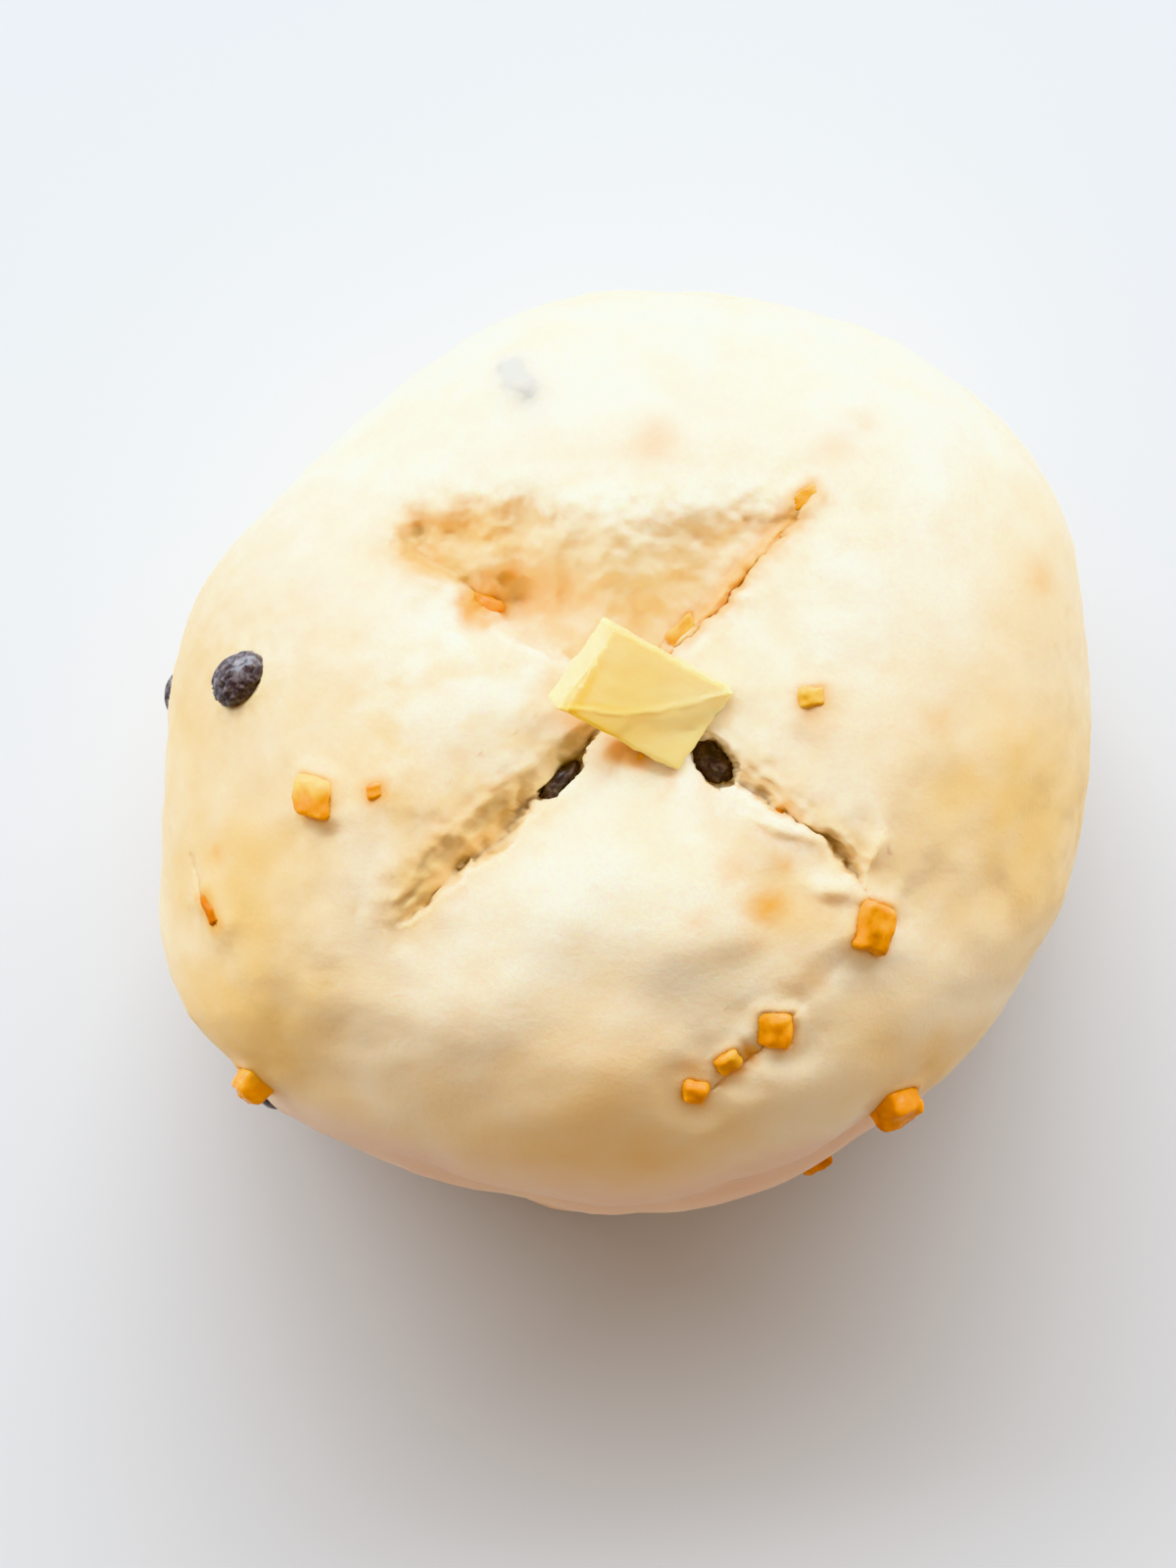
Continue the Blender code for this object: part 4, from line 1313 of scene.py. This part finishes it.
# %% [markdown]
# ## The pat of butter
#
# A knife cut this slice from a cold block. Its top bends along a soft crease from corner to corner,
# where its near half has begun to sag, and its edges are a little ragged. A box with bevelled edges
# would be too neat. So the solid's copy is divided finely and turned to lie level, its points are moved
# lengthwise, across and down, and it is turned back to its place on the dough.

# %% The butter's measures
BUTTER_SIZE = (23.4 * MM, 15.5 * MM, 4.5 * MM)
BUTTER_CENTRE = Vector((1.7, 7.9, 90.2)) * MM + CENTRING
BUTTER_TURN = math.radians(-28)
BUTTER_TIP_EAST = math.radians(9)
BUTTER_TIP_SOUTH = math.radians(13)
CREASE_SAG = 0.8 * MM
CREASE_SLOPE = 7 * MM
CREASE_RIDGE = 0.20 * MM
CREASE_WAVER = 0.35 * MM
KNIFE_MARKS = 0.10 * MM
RAGGED_EDGES = 0.42 * MM
END_SLANT = 1.9 * MM
print("plain pat, mm", [round(side / MM, 1) for side in BUTTER_SIZE])

# %% Model the butter
butter = copy_of_solid("butter")
apply_modifier(butter, "SUBSURF", levels=3, render_levels=3, subdivision_type="SIMPLE")
tip = Matrix.Rotation(BUTTER_TIP_EAST, 4, "Y") @ Matrix.Rotation(BUTTER_TIP_SOUTH, 4, "X")
seat = Matrix.Translation(BUTTER_CENTRE) @ tip @ Matrix.Rotation(BUTTER_TURN, 4, "Z")
to_pat = np.array(seat.inverted())
from_pat = np.array(seat)
places = points_of(butter)
local = places @ to_pat[:3, :3].T + to_pat[:3, 3]
half_long, half_wide = BUTTER_SIZE[0] / 2, BUTTER_SIZE[1] / 2
# The crease runs from the near left corner to the far right one, and sags towards the near edge.
across = local[:, 0] / half_long
crease_line = half_wide * (-0.95 + 0.95 * (across + 1)) - 0.30 * half_wide * (1 - across**2)
lengthwise = np.column_stack([local[:, 0], np.zeros(len(local)), np.zeros(len(local))])
crease_line = crease_line + CREASE_WAVER * clouds(lengthwise, 4 * MM, 2)
below = crease_line - local[:, 1]
local[:, 2] -= CREASE_SAG * smooth(below / CREASE_SLOPE) * (local[:, 2] > -0.5 * MM)
local[:, 2] += CREASE_RIDGE * bell(below / (0.45 * MM)) * (local[:, 2] > 0)
local[:, 2] += KNIFE_MARKS * clouds(local, 4 * MM, 2, stretch=(3, 1, 1))
sideways = [clouds(local, 3 * MM, 2, shift=start) for start in (3.0, 9.0)]
local[:, :2] += RAGGED_EDGES * np.column_stack(sideways)
# The left end was cut askew, so its pale face shows from above.
at_end = smooth((-across - 0.80) / 0.18)
local[:, 0] += END_SLANT * at_end * np.clip(0.5 + local[:, 2] / BUTTER_SIZE[2], 0, 1)
move_points(butter, local @ from_pat[:3, :3].T + from_pat[:3, 3])
print("butter, mm", [round(float(side) / MM, 1) for side in np.ptp(points_of(butter), axis=0)])

# %% Where the butter is painted deeper, partly as shade, and paler
# It is painted deeper in the crease and along its near edge, as shade, and beside its left end and a little
# across its middle, and the cut end is pale.
PALE_REACH = 2.2 * MM
from_end = local[:, 0] + half_long
near_end = bell((from_end - 3.0 * MM) / (0.8 * MM)) * smooth(0.6 - local[:, 1] / half_wide)
middle = bell((across + 0.25) / 0.5) * smooth((local[:, 2] + 2 * MM) / (2 * MM))
in_crease = bell((below + 0.7 * MM) / (0.5 * MM)) * smooth(0.5 - across)
near_edge = bell((local[:, 1] + half_wide) / (0.9 * MM)) * smooth(0.6 - across)
marks = 0.9 * (near_end + 0.6 * in_crease) * (local[:, 2] > 0)
paint(butter, "deep_and_shade", np.clip(0.35 * middle + marks + 0.8 * near_edge, 0, 1))
pale = smooth(1 - from_end / PALE_REACH)
paint(butter, "pale", pale)
only(butter)
bpy.ops.object.shade_smooth_by_angle(angle=math.radians(50))
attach(butter, "root")
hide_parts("butter")
print("pale share", share_of(pale))

# %% The butter's material
BUTTER_COLOUR = (1.0, 0.74, 0.28)
BUTTER_STREAKS = (1.0, 0.82, 0.40)
BUTTER_LAYERS = (
    ("deep_and_shade", 0.0, 1.0, 0.95, (1.0, 0.64, 0.08)),
    ("pale", 0.0, 1.0, 0.8, (1.0, 0.82, 0.42)),
)
butter_material, tree, shader = new_material(
    "butter_pat",
    Roughness=0.32,
    Subsurface_Weight=0.5,
    Subsurface_Radius=(1.0, 0.65, 0.25),
    Subsurface_Scale=0.003,
)
streaks = noise_node(tree, 160.0, 3.0, 0.5, (0.35, 1.0, 1.0))
colour = blend(tree, ramp(tree, streaks, 0.35, 0.7), BUTTER_COLOUR, BUTTER_STREAKS)
tree.links.new(layered(tree, colour, BUTTER_LAYERS), shader.inputs["Base Color"])
add_bump(tree, shader, streaks, 0.12, 0.0006)
butter.data.materials.append(butter_material)
print("nodes", len(tree.nodes))

# %% [markdown]
# ## The floor's finish
#
# A plain pale sheet with a dull sheen. It is only a stage, so it stays as plain as it can be.

# %% The floor's material
FLOOR_COLOUR = (0.575, 0.565, 0.565)
FLOOR_CLOUDS = (0.605, 0.595, 0.585)
floor_material, tree, shader = new_material("pale_floor", Roughness=0.6, Specular_IOR_Level=0.2)
shade = noise_node(tree, 3.0, 2.0, 0.5)
colour = blend(tree, ramp(tree, shade, 0.3, 0.7), FLOOR_COLOUR, FLOOR_CLOUDS)
tree.links.new(colour, shader.inputs["Base Color"])
floor.data.materials.append(floor_material)
print("nodes", len(tree.nodes))
